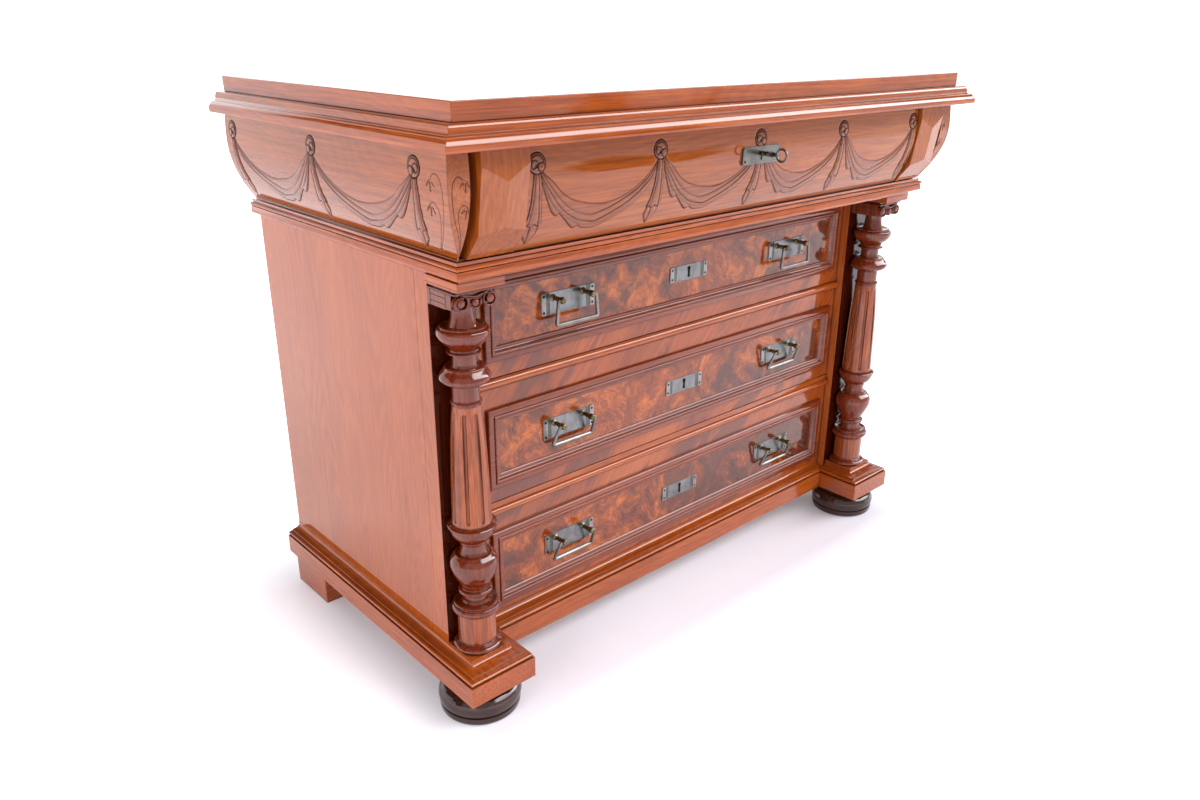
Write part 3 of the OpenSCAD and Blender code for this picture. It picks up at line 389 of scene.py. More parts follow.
def meshed_piece(name, bm, mats, body, stands_for, width, smooth):
    mesh = bpy.data.meshes.new(name)
    bm.to_mesh(mesh)
    bm.free()
    finish_piece(eased(new_object(name, mesh), width, smooth), mats, body, stands_for)


def softened(node, mat, width=0.7, smooth=SHARP, end_mat=None):
    """A node's solid with its sharp edges eased. end_mat veneers the faces that look left or right."""
    bm = bmesh.new()
    bm.from_mesh(nodes[node].data)
    bmesh.ops.remove_doubles(bm, verts=bm.verts, dist=1e-6)
    bmesh.ops.dissolve_limit(bm, angle_limit=radians(0.4), verts=bm.verts, edges=bm.edges)
    if end_mat:
        mat = [mat, end_mat]
        for face in bm.faces:
            face.material_index = int(abs(face.normal.x) > 0.7)
    meshed_piece(node + "_eased", bm, mat, node_body[node], (node,), width, smooth)


def dressed(node, mat):
    """A node that stays as it is, under a better material."""
    obj = nodes[node]
    obj.data.materials.clear()
    obj.data.materials.append(mat)
    eased(obj, 0)


class Solid:
    """Gathers the parts of one piece, in millimetres as (x, depth from the wall, z)."""

    def __init__(self):
        self.verts = []
        self.faces = []
        self.slots = []

    def add(self, verts, faces, move=None, slot=0):
        first = len(self.verts)
        for p in verts:
            p = Vector(p)
            self.verts.append(move @ p if move is not None else p)
        self.faces += [tuple(first + i for i in f) for f in faces]
        self.slots += [slot] * len(faces)

    def box(self, x0, x1, d0, d1, z0, z1, slot=0):
        corners = ((x0, z0), (x1, z0), (x1, z1), (x0, z1))
        self.add(*ring_solid([[(x, d, z) for x, z in corners] for d in (d0, d1)]), slot=slot)

    def piece(self, name, mats, body, stands_for=(), ease=0.0, smooth=SHARP):
        bm = bmesh.new()
        verts = [bm.verts.new((p[0] * MM, (BACK - p[1]) * MM, p[2] * MM)) for p in self.verts]
        for f, k in zip(self.faces, self.slots):
            face = bm.faces.new([verts[i] for i in f])
            face.material_index = k
        bmesh.ops.recalc_face_normals(bm, faces=bm.faces)
        meshed_piece(name, bm, mats, body, stands_for, ease, smooth)


def grid_faces(rows, cols, wrap=False):
    """Quads between rows of cols points each; wrap joins the last column to the first."""
    last = cols if wrap else cols - 1
    return [(r * cols + c, r * cols + (c + 1) % cols, (r + 1) * cols + (c + 1) % cols, (r + 1) * cols + c)
            for r in range(rows - 1) for c in range(last)]


def ring_solid(rings):
    """Closed skin over rings of equal length, with a face at each end."""
    cols = len(rings[0])
    verts = [p for ring in rings for p in ring]
    faces = grid_faces(len(rings), cols, True)
    faces.append(tuple(range(cols - 1, -1, -1)))
    faces.append(tuple(range((len(rings) - 1) * cols, len(rings) * cols)))
    return verts, faces


def smooth_points(points, step, corner=42.0):
    """A polyline turned into a curve, which stays sharp where it bends by more than the corner angle."""
    pts = [np.array(p, float) for p in points]
    n = len(pts)

    def bend(i):
        a, b = pts[i] - pts[i - 1], pts[i + 1] - pts[i]
        c = float(a @ b / (np.linalg.norm(a) * np.linalg.norm(b) + 1e-12))
        return degrees(acos(max(-1.0, min(1.0, c))))

    sharp = [i in (0, n - 1) or bend(i) > corner for i in range(n)]
    out = [pts[0]]
    for i in range(n - 1):
        p1, p2 = pts[i], pts[i + 1]
        p0 = 2 * p1 - p2 if sharp[i] else pts[i - 1]
        p3 = 2 * p2 - p1 if sharp[i + 1] else pts[i + 2]
        length = np.linalg.norm(p2 - p1)
        t1 = (p2 - p0) * length / (np.linalg.norm(p1 - p0) + length)
        t2 = (p3 - p1) * length / (np.linalg.norm(p3 - p2) + length)
        k = max(1, int(ceil(length / step)))
        for j in range(1, k + 1):
            u = j / k
            out.append((2 * u**3 - 3 * u**2 + 1) * p1 + (u**3 - 2 * u**2 + u) * t1
                       + (3 * u**2 - 2 * u**3) * p2 + (u**3 - u**2) * t2)
    return out


SMALLEST_R = 0.01


def lathe(profile, segments):
    """Turned solid about Z from (radius, z) points."""
    angles = np.linspace(0, 2 * pi, segments, endpoint=False)
    rings = [[(r * cos(a), r * sin(a), z) for a in angles]
             for r, z in ((max(r, SMALLEST_R), z) for r, z in profile)]
    return ring_solid(rings)


def tube(path, radius, segments, squareness=2.0):
    """Solid swept along a path; radius is one number or one for each point.

    Squareness over 2 flattens its sides.
    """
    pts = [Vector(p) for p in path]
    n = len(pts)
    radii = [radius] * n if isinstance(radius, (int, float)) else radius
    tangents = []
    for i in range(n):
        a, b = pts[max(i - 1, 0)], pts[min(i + 1, n - 1)]
        tangents.append((b - a).normalized())
    up = Vector((0, 1, 0)) if abs(tangents[0].y) < 0.9 else Vector((1, 0, 0))
    side = tangents[0].cross(up).normalized()
    rings = []
    for i in range(n):
        side = (side - tangents[i] * side.dot(tangents[i])).normalized()
        other = tangents[i].cross(side)
        ring = []
        for k in range(segments):
            a = 2 * pi * k / segments
            c, s = cos(a), sin(a)
            q = (abs(c) ** squareness + abs(s) ** squareness) ** (-1 / squareness)
            ring.append(pts[i] + (side * c + other * s) * (q * radii[i]))
        rings.append(ring)
    return ring_solid(rings)


def outline_box(w, h, r):
    """Rounded rectangle about the origin."""
    steps = 5
    out = []
    for cx, cz, a0 in ((w / 2 - r, h / 2 - r, 0), (r - w / 2, h / 2 - r, 90), (r - w / 2, r - h / 2, 180),
                       (w / 2 - r, r - h / 2, 270)):
        for k in range(steps + 1):
            a = radians(a0 + 90 * k / steps)
            out.append((cx + r * cos(a), cz + r * sin(a)))
    return out


def slab(w, h, r, d0, d1, edge, at):
    """Plate that faces the front, from depth d0 out to d1, with rounded corners and an eased face."""
    rings = []
    for inset, d in ((0, d0), (0, d1 - edge), (0.3 * edge, d1 - 0.3 * edge), (edge, d1), (edge + 0.05, d1)):
        outline = outline_box(w - 2 * inset, h - 2 * inset, r - inset)
        rings.append([(x + at[0], d, z + at[1]) for x, z in outline])
    return ring_solid(rings)


def pierced_slab(outer, inner, d0, d1, at):
    """Plate that faces the front, with one hole right through it."""
    bm = bmesh.new()
    loops = []
    for loop in (outer, inner):
        vs = [bm.verts.new((x + at[0], d1, z + at[1])) for x, z in loop]
        loops.append([bm.edges.new((vs[i], vs[(i + 1) % len(vs)])) for i in range(len(vs))])
    bmesh.ops.triangle_fill(bm, use_beauty=True, edges=loops[0] + loops[1])
    bmesh.ops.recalc_face_normals(bm, faces=bm.faces)
    out = bmesh.ops.extrude_face_region(bm, geom=bm.faces[:], use_keep_orig=True)
    for v in out["geom"]:
        if isinstance(v, bmesh.types.BMVert):
            v.co.y = d0
    bm.verts.index_update()
    verts = [tuple(v.co) for v in bm.verts]
    faces = [tuple(v.index for v in f.verts) for f in bm.faces]
    bm.free()
    return verts, faces


def facing(x, depth, z):
    """Turns a shape made about Z so that its top points to the front, and puts it in place."""
    return Matrix(((1, 0, 0, x), (0, 0, 1, depth), (0, 1, 0, z), (0, 0, 0, 1)))


# Plain pieces
for side in ("left", "right"):
    dressed("bun_foot_" + side, ebonised)
    softened("back_foot_" + side, walnut_x, 1.5)
    softened("base_" + side, walnut_y)
    softened("side_panel_" + side, panel_wood, 0.5)
    softened("stile_" + side, shaded_stile_wood, 0.5, end_mat=panel_wood)
    softened("waist_moulding_" + side, walnut_y, 0.4)
    softened("impost_" + side, walnut_x, 0.8, end_mat=walnut_y)
    dressed("frieze_side_" + side, walnut_y)
    softened("facet_block_" + side, facet_wood, 0.5, 6)
    softened("cornice_" + side, walnut_y, 0.3)
softened("base_front", walnut_x)
softened("rail_lower", walnut_x, 0.4)
softened("rail_upper", walnut_x, 0.4)
softened("waist_board", walnut_x, 0.4, end_mat=walnut_y)
softened("waist_moulding_front", walnut_x, 0.4)
softened("cornice_front", walnut_x, 0.3)
softened("top_board", walnut_x, 1.0, end_mat=walnut_y)
for name in ("bottom_board", "frieze_drawer_box", "drawer_1_box", "drawer_2_box", "drawer_3_box"):
    dressed(name, inner_wood)
dressed("back_panel", back_wood)
dressed("frieze_drawer_front", walnut_x)
dressed("frieze_drawer_lock", steel)
dressed("frieze_drawer_bolt", steel)

FRONT_D = 469.5
STILE_D = 484.0

# Columns: outlines as (height over the foot, radius), in three stretches
COLUMN_X, COLUMN_D, COLUMN_FOOT = 469.0, 511.0, 105.0
LOWER = [
    (0, 32.5), (0.8, 34), (3, 35.2), (6, 34.8), (8.2, 32.6), (9, 30.4), (9.8, 29.6), (10.4, 28),
    (11, 27.5), (57, 27.5), (57.6, 28.4), (58.4, 29.2), (60, 31.6), (63, 34.2), (66.5, 34.8),
    (69.5, 34), (71, 33), (71.4, 31.6), (72.2, 31.4), (74.5, 32.2), (76, 31.6), (76.6, 30), (75.2, 24),
    (75.6, 20.6), (77, 20), (78.5, 19), (88, 18.2), (89.2, 18.4), (89.6, 21.5), (91, 23.8),
    (93.2, 24.6), (95.6, 24), (97, 22.2), (97.3, 20.4), (98.4, 20), (101, 20.6), (108, 23.8), (114, 27),
    (125, 32), (133, 34.2), (138, 34.5), (144, 33.4), (149, 30.6), (152.4, 27.6), (153.6, 26.6),
    (154, 25.2), (153.4, 22), (153.8, 20.4), (157, 19), (162, 18), (168, 18.2), (171.6, 19.2),
    (172, 20.4), (176, 22), (182, 28), (188, 31.4), (193, 33.2), (198, 35), (199.6, 35), (200.4, 34.2),
    (200.6, 32.6), (201.6, 31.4), (203, 28.5),
]
SHAFT = [(203, 28.5), (211, 28), (235, 27.2), (265, 26.4), (325, 24.1), (367, 20.8), (377, 19.7)]
UPPER = [
    (377, 19.6), (379, 19.7), (379.6, 20.8), (381.6, 21.6), (383.6, 20.9), (384.2, 19.4), (386, 18.8),
    (405, 18.6), (405.6, 19.6), (407, 23), (409, 28), (412, 32), (414.6, 33.4), (415.2, 34.6),
    (416, 34.8), (419, 34.4), (423, 32.4), (426.5, 29.6), (429, 27.8), (430.4, 27.6), (431.6, 26.6),
    (432, 25.2), (431, 19), (431.4, 17.6), (434, 16.8), (440, 16.3), (448, 16.3), (449, 17),
    (449.4, 21), (450.4, 23.2), (451.6, 23.6), (452.6, 22.6), (453, 19.4), (455, 19), (458, 20.4),
    (461, 23.6), (465, 28.6), (470, 32.8), (475, 35), (479, 35.3), (482, 34.6), (483.4, 33.2),
    (483.6, 31.4), (484.4, 30.6), (485.2, 31), (486.2, 31), (487, 30.2), (487.2, 29), (485.6, 22),
    (486, 19), (489, 17.8), (496, 16.2), (504, 15.2), (512, 15.0), (524, 15.0),
]
# Stretches of the column in the lighter wood: the drum and the fluted shaft
PALE_BANDS = ((14, 57), (203, 377))
FLUTES, FLUTE_W = 8, 5.5
# Ends of the flutes, as (height over the foot, radius)
FLUTE_FOOT, FLUTE_HEAD = (208.0, 27.8), (369.0, 20.6)
# Points across half a flute and a little past its edge, as shares of its half width
FLUTE_SHARES = (0.0, 0.34, 0.64, 0.86, 1.0, 1.08)


def column(side):
    """Turned column: rings, balusters and a fluted shaft, cut flat where it meets the stile."""
    profile = smooth_points(LOWER, 1.0, 35)
    profile += smooth_points(SHAFT, 2.0)[1:] + smooth_points(UPPER, 1.0, 35)[1:]
    flute_r = FLUTE_W / 2
    rings, pale = [], []
    for z, r in profile:
        z, r = float(z), float(r)
        along = (z - FLUTE_FOOT[0]) / (FLUTE_HEAD[0] - FLUTE_FOOT[0])
        axis_r = FLUTE_FOOT[1] + (FLUTE_HEAD[1] - FLUTE_FOOT[1]) * min(max(along, 0), 1)
        half_angle = flute_r / axis_r
        gap = 2 * pi / FLUTES - 2 * half_angle * FLUTE_SHARES[-1]
        end = max(FLUTE_FOOT[0] + flute_r - z, z - FLUTE_HEAD[0] + flute_r, 0)
        ring = []
        for k in range(FLUTES):
            mid = 2 * pi * k / FLUTES
            angles = [mid - half_angle * q for q in FLUTE_SHARES[::-1]]
            angles += [mid + half_angle * q for q in FLUTE_SHARES[1:]]
            angles += [angles[-1] + gap * j / 4 for j in (1, 2, 3)]
            for a in angles:
                deep = flute_r**2 - (abs(a - mid) * axis_r)**2 - end**2
                cut = min(r, axis_r - sqrt(deep)) if deep > 0 and 0 <= along <= 1 else r
                depth = max(COLUMN_D + cut * cos(a), STILE_D + 0.02)
                ring.append((COLUMN_X * side + cut * sin(a), depth, COLUMN_FOOT + z))
        rings.append(ring)
        pale.append(any(lo < z < hi for lo, hi in PALE_BANDS))
    s = Solid()
    s.add(*ring_solid(rings))
    cols = len(rings[0])
    s.slots = [int(f // cols < len(rings) - 1 and pale[f // cols]) for f in range(len(s.faces))]
    node = "column_" + side_name(side)
    s.piece(node + "_turned", [dark_wood, shaft_wood], "case", (node,), smooth=38)


# Capitals: foot, top, half width, the depths of the face, the ground behind it and the ends, and the scrolls
CAPITAL_FOOT, CAPITAL_TOP, REACH = 618.0, 650.0, 33.5
FACE_D = COLUMN_D + REACH - 0.5
GROUND_D = FACE_D - 4.4
END_D = GROUND_D - 2.6
SCROLL_R = 11.4
EYE_X, EYE_Z = REACH - SCROLL_R, CAPITAL_FOOT + SCROLL_R
SCROLL_TOP = EYE_Z + SCROLL_R
IMPOST_W, IMPOST_D = 72.0, 556.0


def spiral(turns, r0, r1, direction):
    """Scroll that leaves its top outwards and winds in, as (x, z) about its eye."""
    steps = 44
    out = []
    for k in range(steps + 1):
        u = k / steps
        a = pi / 2 + direction * 2 * pi * turns * u
        r = r0 + (r1 - r0) * max(0.0, (u - 0.25) / 0.75) ** 0.8
        out.append((-r * cos(a), r * sin(a)))
    return out


def wall(path, half_width, d0, d1):
    """Narrow rib with rounded edges that stands up from depth d0 to d1 along an (x, z) path."""
    pts = [np.array(p, float) for p in path]
    section = [(-1, d0), (-1, d1 - 0.7), (-0.45, d1), (0.45, d1), (1, d1 - 0.7), (1, d0)]
    rings = []
    for i, p in enumerate(pts):
        along = pts[min(i + 1, len(pts) - 1)] - pts[max(i - 1, 0)]
        across = np.array((-along[1], along[0])) / np.linalg.norm(along) * half_width
        rings.append([(p[0] + across[0] * q, d, p[1] + across[1] * q) for q, d in section])
    return ring_solid(rings)


def capital_end(s, x0, k):
    """One scroll of a capital, with its button and rim, and the panelled side beyond it."""
    x = x0 + k * EYE_X
    drum = [(SCROLL_R - 0.6, 0), (SCROLL_R - 0.6, GROUND_D - STILE_D)]
    s.add(*lathe(drum, 44), facing(x, STILE_D, EYE_Z))
    button = [(5.6, 0), (5.6, 3.4), (5.2, 4.2), (3.8, 4.8), (1.9, 5.1), (0, 5.2)]
    s.add(*lathe(button, 30), facing(x, GROUND_D - 0.4, EYE_Z))
    rim = [(x + p[0], EYE_Z + p[1]) for p in spiral(1.10, SCROLL_R - 1.0, 6.6, -k)]
    s.add(*wall(rim, 1.0, GROUND_D - 2, FACE_D))
    edge = x0 + k * REACH
    lo, hi = sorted((edge - k * 0.8, edge - k * 7))
    s.box(lo, hi, STILE_D, END_D, CAPITAL_FOOT + 3.0, SCROLL_TOP - 0.2)
    lo, hi = sorted((edge, edge - k * 6))
    for panel in ((END_D - 11, END_D, CAPITAL_FOOT + 4.5, SCROLL_TOP - 0.4),
                  (STILE_D, STILE_D + 7, CAPITAL_FOOT + 2.4, SCROLL_TOP - 0.4),
                  (STILE_D + 8, END_D - 12, CAPITAL_FOOT + 2.4, CAPITAL_FOOT + 8.4),
                  (STILE_D + 8, END_D - 12, CAPITAL_FOOT + 9.4, SCROLL_TOP - 6.4),
                  (STILE_D + 8, END_D - 12, SCROLL_TOP - 5.4, SCROLL_TOP - 0.4)):
        s.box(lo, hi, *panel)


def capital_middle(s, x0):
    """Dipping channel between the scrolls, the bowl under it, and an egg in its ring between two darts."""
    for drop, dip, half, proud in ((1.0, 4.6, 1.1, 0.0), (3.9, 4.2, 0.8, -1.4)):
        band = [(x0 + q * EYE_X, SCROLL_TOP - drop - dip * cos(q * pi / 2) ** 2)
                for q in np.linspace(-1, 1, 35)]
        s.add(*wall(band, half, GROUND_D - 2, FACE_D + proud))
    s.box(x0 - EYE_X, x0 + EYE_X, STILE_D, GROUND_D, CAPITAL_FOOT + 7, SCROLL_TOP - 1)
    bowl = [(15.0, -1.5), (15.6, 0), (19.5, 1.2), (25, 4.4), (28.2, 8), (28.6, 12.5)]
    bowl = [(r, CAPITAL_FOOT + z) for r, z in bowl]
    s.add(*lathe(smooth_points(bowl, 1.0, 60), 40), Matrix.Translation((x0, COLUMN_D, 0)))
    egg = [(0.3, -6.4), (2.8, -5.2), (5.0, -2.4), (5.6, 0.4), (5.0, 3.0), (3.2, 4.8), (0.3, 5.6)]
    s.add(*lathe(smooth_points(egg, 0.8, 80), 24), Matrix.Translation((x0, FACE_D - 4.2, EYE_Z - 2.2)))
    ring = [(x0 + 7.0 * cos(a), EYE_Z - 1.8 + 7.4 * sin(a))
            for a in np.linspace(radians(168), radians(372), 22)]
    s.add(*wall(ring, 0.6, GROUND_D - 3, FACE_D - 1.6))
    dart = [(0.2, -5.6), (1.0, -3.0), (1.6, 0.5), (1.2, 4.0), (0.2, 4.8)]
    for k in (-1, 1):
        s.add(*lathe(dart, 12), Matrix.Translation((x0 + k * 9.4, FACE_D - 3.2, EYE_Z - 2.0)))


def capital(side):
    """Scrolled capital with panelled ends, and the foot of the impost above it."""
    s = Solid()
    x0 = COLUMN_X * side
    for k in (-1, 1):
        capital_end(s, x0, k)
    capital_middle(s, x0)
    for half, d, z0, z1, slot in ((REACH - 0.8, FACE_D - 0.8, SCROLL_TOP - 0.4, SCROLL_TOP + 1.6, 0),
                                  (REACH - 5, FACE_D - 5, SCROLL_TOP + 1.2, CAPITAL_TOP - 2.4, 0),
                                  (IMPOST_W / 2, IMPOST_D, CAPITAL_TOP - 2.8, CAPITAL_TOP + 0.2, 1)):
        s.box(x0 - half, x0 + half, STILE_D, d, z0, z1, slot)
    node = "capital_" + side_name(side)
    s.piece(node + "_scrolled", [dark_wood, walnut_x], "case", (node,), ease=0.3, smooth=40)


for side in (-1, 1):
    column(side)
    capital(side)


# Handles and locks, by the drawer's number: middle of its panel and forward lean of its bails in degrees
FRAME_MID = {1: 574.05, 2: 379.5, 3: 181.5}
LEAN = {1: 0.0, 2: 21.0, 3: 21.0}
LOCK_TOP = {1: 657.8, 2: 472.3, 3: 272.8}
PLATE_UP, ESCUTCHEON_UP = 2.8, 1.8
HANDLE_X = 257.5
PLATE_W, PLATE_H, PLATE_T = 101.0, 33.5, 1.6
POST_X = 28.5
PIVOT_OUT, PIVOT_UP = 22.5, 8.0
BAIL_DROP, BAIL_LEG_X, BAIL_BAR_X = 35.0, 36.5, 38.9
# Outline of a post, as (radius, distance from the plate)
POST = [(5.3, 0), (5.3, 0.8), (4.4, 1.8), (3.5, 2.6), (3.3, 4), (3.3, 9), (3.7, 9.6), (3.7, 10.8),
        (3.3, 11.4), (3.3, 15.4), (4.0, 16.1), (4.7, 17.0), (4.8, 18.6), (4.8, 22.6), (4.3, 24.2),
        (3.0, 25.2), (1.5, 25.5), (1.2, 25.0), (0, 24.9)]


def end_bands(s, w, h, x, z, d):
    """Raised strip with two dark pins, a dull cove and a fine rib at each end of a plate."""
    pin = [(2.0, 0), (1.95, 0.25), (1.5, 0.45), (0, 0.5)]
    for k in (-1, 1):
        strip, cove, rib = (x + k * (w / 2 - inset) for inset in (4.3, 11.6, 15.0))
        s.add(*slab(8.4, h - 0.4, 2.2, d - 0.4, d + 0.8, 0.35, (strip, z)), slot=STRIPS)
        s.add(*slab(5.6, h - 1.6, 0.6, d - 0.4, d + 0.12, 0.1, (cove, z)), slot=COVES)
        s.add(*tube([(rib, d, z - h / 2 + 0.7), (rib, d, z + h / 2 - 0.7)], 0.6, 8))
        for v in (-1, 1):
            s.add(*lathe(pin, 18), facing(strip, d + 0.75, z + v * (h / 2 - 4.8)), slot=PINS_AND_HOLE_SHADE)


def handle_plates(k):
    """Both back plates of a drawer, each with two posts."""
    s = Solid()
    z = FRAME_MID[k] + PLATE_UP
    face = FRONT_D + PLATE_T
    for side in (-1, 1):
        x = side * HANDLE_X
        s.add(*slab(PLATE_W, PLATE_H, 3.0, FRONT_D, face, 0.5, (x, z)))
        end_bands(s, PLATE_W, PLATE_H, x, z, face)
        for p in (-1, 1):
            s.add(*lathe(POST, 28), facing(x + p * POST_X, face, z + PIVOT_UP), slot=POSTS)
    body = f"drawer_{k}"
    s.piece(body + "_handle_plates", PLATE_METALS, body, (body + "_plates",), smooth=36)


def bail(k, side):
    """Wire bail: pins through the posts, two legs that widen downwards, and a bar."""
    drop, leg_x, bar_x = BAIL_DROP, BAIL_LEG_X, BAIL_BAR_X
    # Half of its path from a pin to the bar, as (x, height, radius)
    half = [(POST_X - 4.6, 0.0, 1.6), (leg_x - 2.6, 0.0, 1.6), (leg_x - 1.2, -0.5, 1.9),
            (leg_x - 0.2, -1.9, 2.1), (leg_x, -4.0, 2.1), (leg_x + 1.1, -18.0, 2.25),
            (bar_x - 0.2, -drop + 4.0, 2.6), (bar_x - 0.6, -drop + 1.8, 2.8), (bar_x - 1.8, -drop + 0.6, 2.9),
            (bar_x - 4.0, -drop, 2.9)]
    points = smooth_points(half, 1.6, 100)
    points = points + [np.array((x, -drop, 2.9)) for x in (24, 12, 0)]
    points = points + [p * (-1, 1, 1) for p in points[-2::-1]]
    lean = radians(LEAN[k])
    z0 = FRAME_MID[k] + PLATE_UP + PIVOT_UP
    path = [(side * HANDLE_X + p[0], FRONT_D + PIVOT_OUT + p[1] * sin(lean), z0 + p[1] * cos(lean))
            for p in points]
    s = Solid()
    s.add(*tube(path, [float(p[2]) for p in points], 20, 3.4))
    node = f"drawer_{k}_bail_{side_name(side)}"
    s.piece(node + "_wire", bail_nickel, node, (node,), smooth=50)


def keyhole(top_r, slot_w, foot_r, length):
    """Round-ended keyhole about the middle of its round top."""
    out = []
    foot_z = top_r - length + foot_r
    for r, z, start, steps in ((top_r, 0.0, -pi / 2, 20), (foot_r, foot_z, pi / 2, 12)):
        a0 = asin(min(1.0, slot_w / 2 / r))
        for k in range(steps + 1):
            a = start + a0 + (2 * pi - 2 * a0) * k / steps
            out.append((r * cos(a), z + r * sin(a)))
    return out


def keyhole_plate(s, w, h, corner, z, d0, d1, hole, hole_up):
    """Plate with a keyhole, and a black sheet behind the hole as painted shade."""
    hole = [(x, up + hole_up) for x, up in hole]
    s.add(*pierced_slab(outline_box(w, h, corner), hole, d0, d1, (0, z)))
    # Painted shade: a black sheet behind the hole stands in for the dark inside the keyhole.
    s.box(-8, 8, d0 + 0.2, d0 + 0.4, z + hole_up - 15.5, z + hole_up + 5.5, slot=PINS_AND_HOLE_SHADE)


def escutcheon(k):
    """Keyhole plate of a deep drawer, and the lock case inside the drawer."""
    s = Solid()
    z = FRAME_MID[k] + ESCUTCHEON_UP
    w, h = 87.0, 25.0
    face = FRONT_D + PLATE_T
    keyhole_plate(s, w, h, 2.2, z, FRONT_D, face, keyhole(3.8, 4.6, 3.2, 18.6), 5.7)
    end_bands(s, w, h, 0, z, face)
    s.box(-31, 31, FRONT_D - 20, FRONT_D - 9, z - 16, LOCK_TOP[k], slot=CASE)
    body = f"drawer_{k}"
    s.piece(body + "_escutcheon", PLATE_METALS, body, (body + "_lock",), ease=0.2, smooth=40)


KEY_Z, KEY_FACE = 776.5, 602.5
# Outline of the key outside the plate, as (radius, distance from the plate)
KEY_TURNING = [(2.6, 2.0), (3.6, 2.4), (4.0, 3.2), (3.6, 4.2), (2.9, 4.8), (2.7, 7.0), (3.3, 7.6), (3.7, 9.6),
               (3.5, 11.8), (2.8, 12.6), (2.6, 13.8), (3.5, 14.4), (4.0, 15.2), (3.5, 16.2), (2.4, 16.8),
               (2.2, 20.0), (3.0, 21.4), (3.2, 23.4), (2.4, 25.4), (0, 26.0)]
RING_R, RING_WIRE = 8.7, 1.75
ROSETTE_R, BEAD_R = 3.1, 1.5


def frieze_plate():
    """Keyhole plate of the frieze drawer: rounded corners, a raised rim and four pins."""
    s = Solid()
    w, h, z = 83.0, 24.4, 774.2
    keyhole_plate(s, w, h, 2.6, z, KEY_FACE - 9, KEY_FACE, keyhole(3.3, 3.8, 2.0, 12.6), KEY_Z - z)
    inner = outline_box(w - 2.2, h - 2.2, 1.6)
    s.add(*pierced_slab(outline_box(w, h, 2.6), inner, KEY_FACE - 0.4, KEY_FACE + 0.55, (0, z)))
    pin = [(1.8, 0), (1.75, 0.4), (1.1, 0.8), (0, 0.85)]
    for k in (-1, 1):
        for v, slot in ((-1, PINS_AND_HOLE_SHADE), (1, 0)):
            s.add(*lathe(pin, 18), facing(k * (w / 2 - 5), KEY_FACE - 0.1, z + v * (h / 2 - 5)), slot=slot)
    s.piece("frieze_keyhole_plate", [old_nickel, brass, pin_and_hole_shade_steel], "frieze_drawer",
            ("frieze_drawer_plate",), ease=0.25, smooth=40)


def key():
    """Key with a ring bow: turned shaft, a rosette of beads at the ring, and the bit in the lock."""
    lo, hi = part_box("key")
    tip = BACK - hi[1] / MM
    reach = BACK - lo[1] / MM
    shaft = [(0, tip), (2.4, tip), (2.6, tip + 0.6)] + [(r, KEY_FACE + out) for r, out in KEY_TURNING]
    s = Solid()
    s.add(*lathe(shaft, 32), facing(0, 0, KEY_Z))
    centre = reach - RING_R - RING_WIRE
    ring = [(0, centre - RING_R * cos(a), KEY_Z + RING_R * sin(a))
            for a in np.linspace(0, 2 * pi, 49)]
    s.add(*tube(ring, RING_WIRE, 16, 2.4), slot=1)
    bead = [(BEAD_R * sin(b), BEAD_R * cos(b)) for b in np.linspace(0.01, pi - 0.01, 7)]
    for a in np.linspace(0, 2 * pi, 6, endpoint=False):
        at = (ROSETTE_R * sin(a), KEY_FACE + 18.6, KEY_Z + ROSETTE_R * cos(a))
        s.add(*lathe(bead, 12), Matrix.Translation(at))
    s.box(-1.3, 1.3, tip, tip + 5, KEY_Z - 8, KEY_Z)
    s.piece("key_turned", [dark_steel, bail_nickel], "key", ("key",), smooth=45)


def burr_panel(k):
    """Burr veneer inside the frame moulding, with a hole behind the escutcheon."""
    lo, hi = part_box(f"drawer_{k}_frame")
    w, h = (hi[0] - lo[0]) / MM - 42, (hi[2] - lo[2]) / MM - 42
    middle = (hi[2] + lo[2]) / 2 / MM
    hole = [(x, z + FRAME_MID[k] + ESCUTCHEON_UP - middle) for x, z in outline_box(20, 22, 1)]
    s = Solid()
    s.add(*pierced_slab(outline_box(w, h, 0.3), hole, FRONT_D - 0.3, FRONT_D + 0.5, (0, middle)))
    s.piece(f"drawer_{k}_burr_panel", burr_wood, f"drawer_{k}")


for k in (1, 2, 3):
    softened(f"drawer_{k}_front", cross_wood, 0.4)
    softened(f"drawer_{k}_frame", frame_wood, 0.25)
    burr_panel(k)
    handle_plates(k)
    escutcheon(k)
    for side in (-1, 1):
        bail(k, side)
frieze_plate()
key()


# Carving of the frieze: its swelling face, and the swags that hang from knot to knot
FRIEZE_Z, FRIEZE_H, FRIEZE_D, FRIEZE_HALF = 690.0, 132.0, 599.5, 539.0
SWELL_H, SWELL_IN, SWELL_TOP = 92.0, 33.0, 2.5
KNOT_H, KNOT_R = 107.5, 12.5
SPAN = 207.0
# The sides: distances of the first knot and between knots, the side's length, and the strip beside the groove
SIDE_KNOT, SIDE_SPAN, SIDE_LENGTH = 66.5, 252.5, 598.5
STRIP_W, GROOVE_X = 29.2, 509.8
STEP = 1.0


def swell(h):
    return np.where(h < SWELL_H, SWELL_IN * ((SWELL_H - h) / SWELL_H) ** 2,
                    SWELL_TOP * ((h - SWELL_H) / (FRIEZE_H - SWELL_H)) ** 2)


def swell_slope(h):
    return np.where(h < SWELL_H, -2 * SWELL_IN * (SWELL_H - h) / SWELL_H**2,
                    2 * SWELL_TOP * (h - SWELL_H) / (FRIEZE_H - SWELL_H) ** 2)


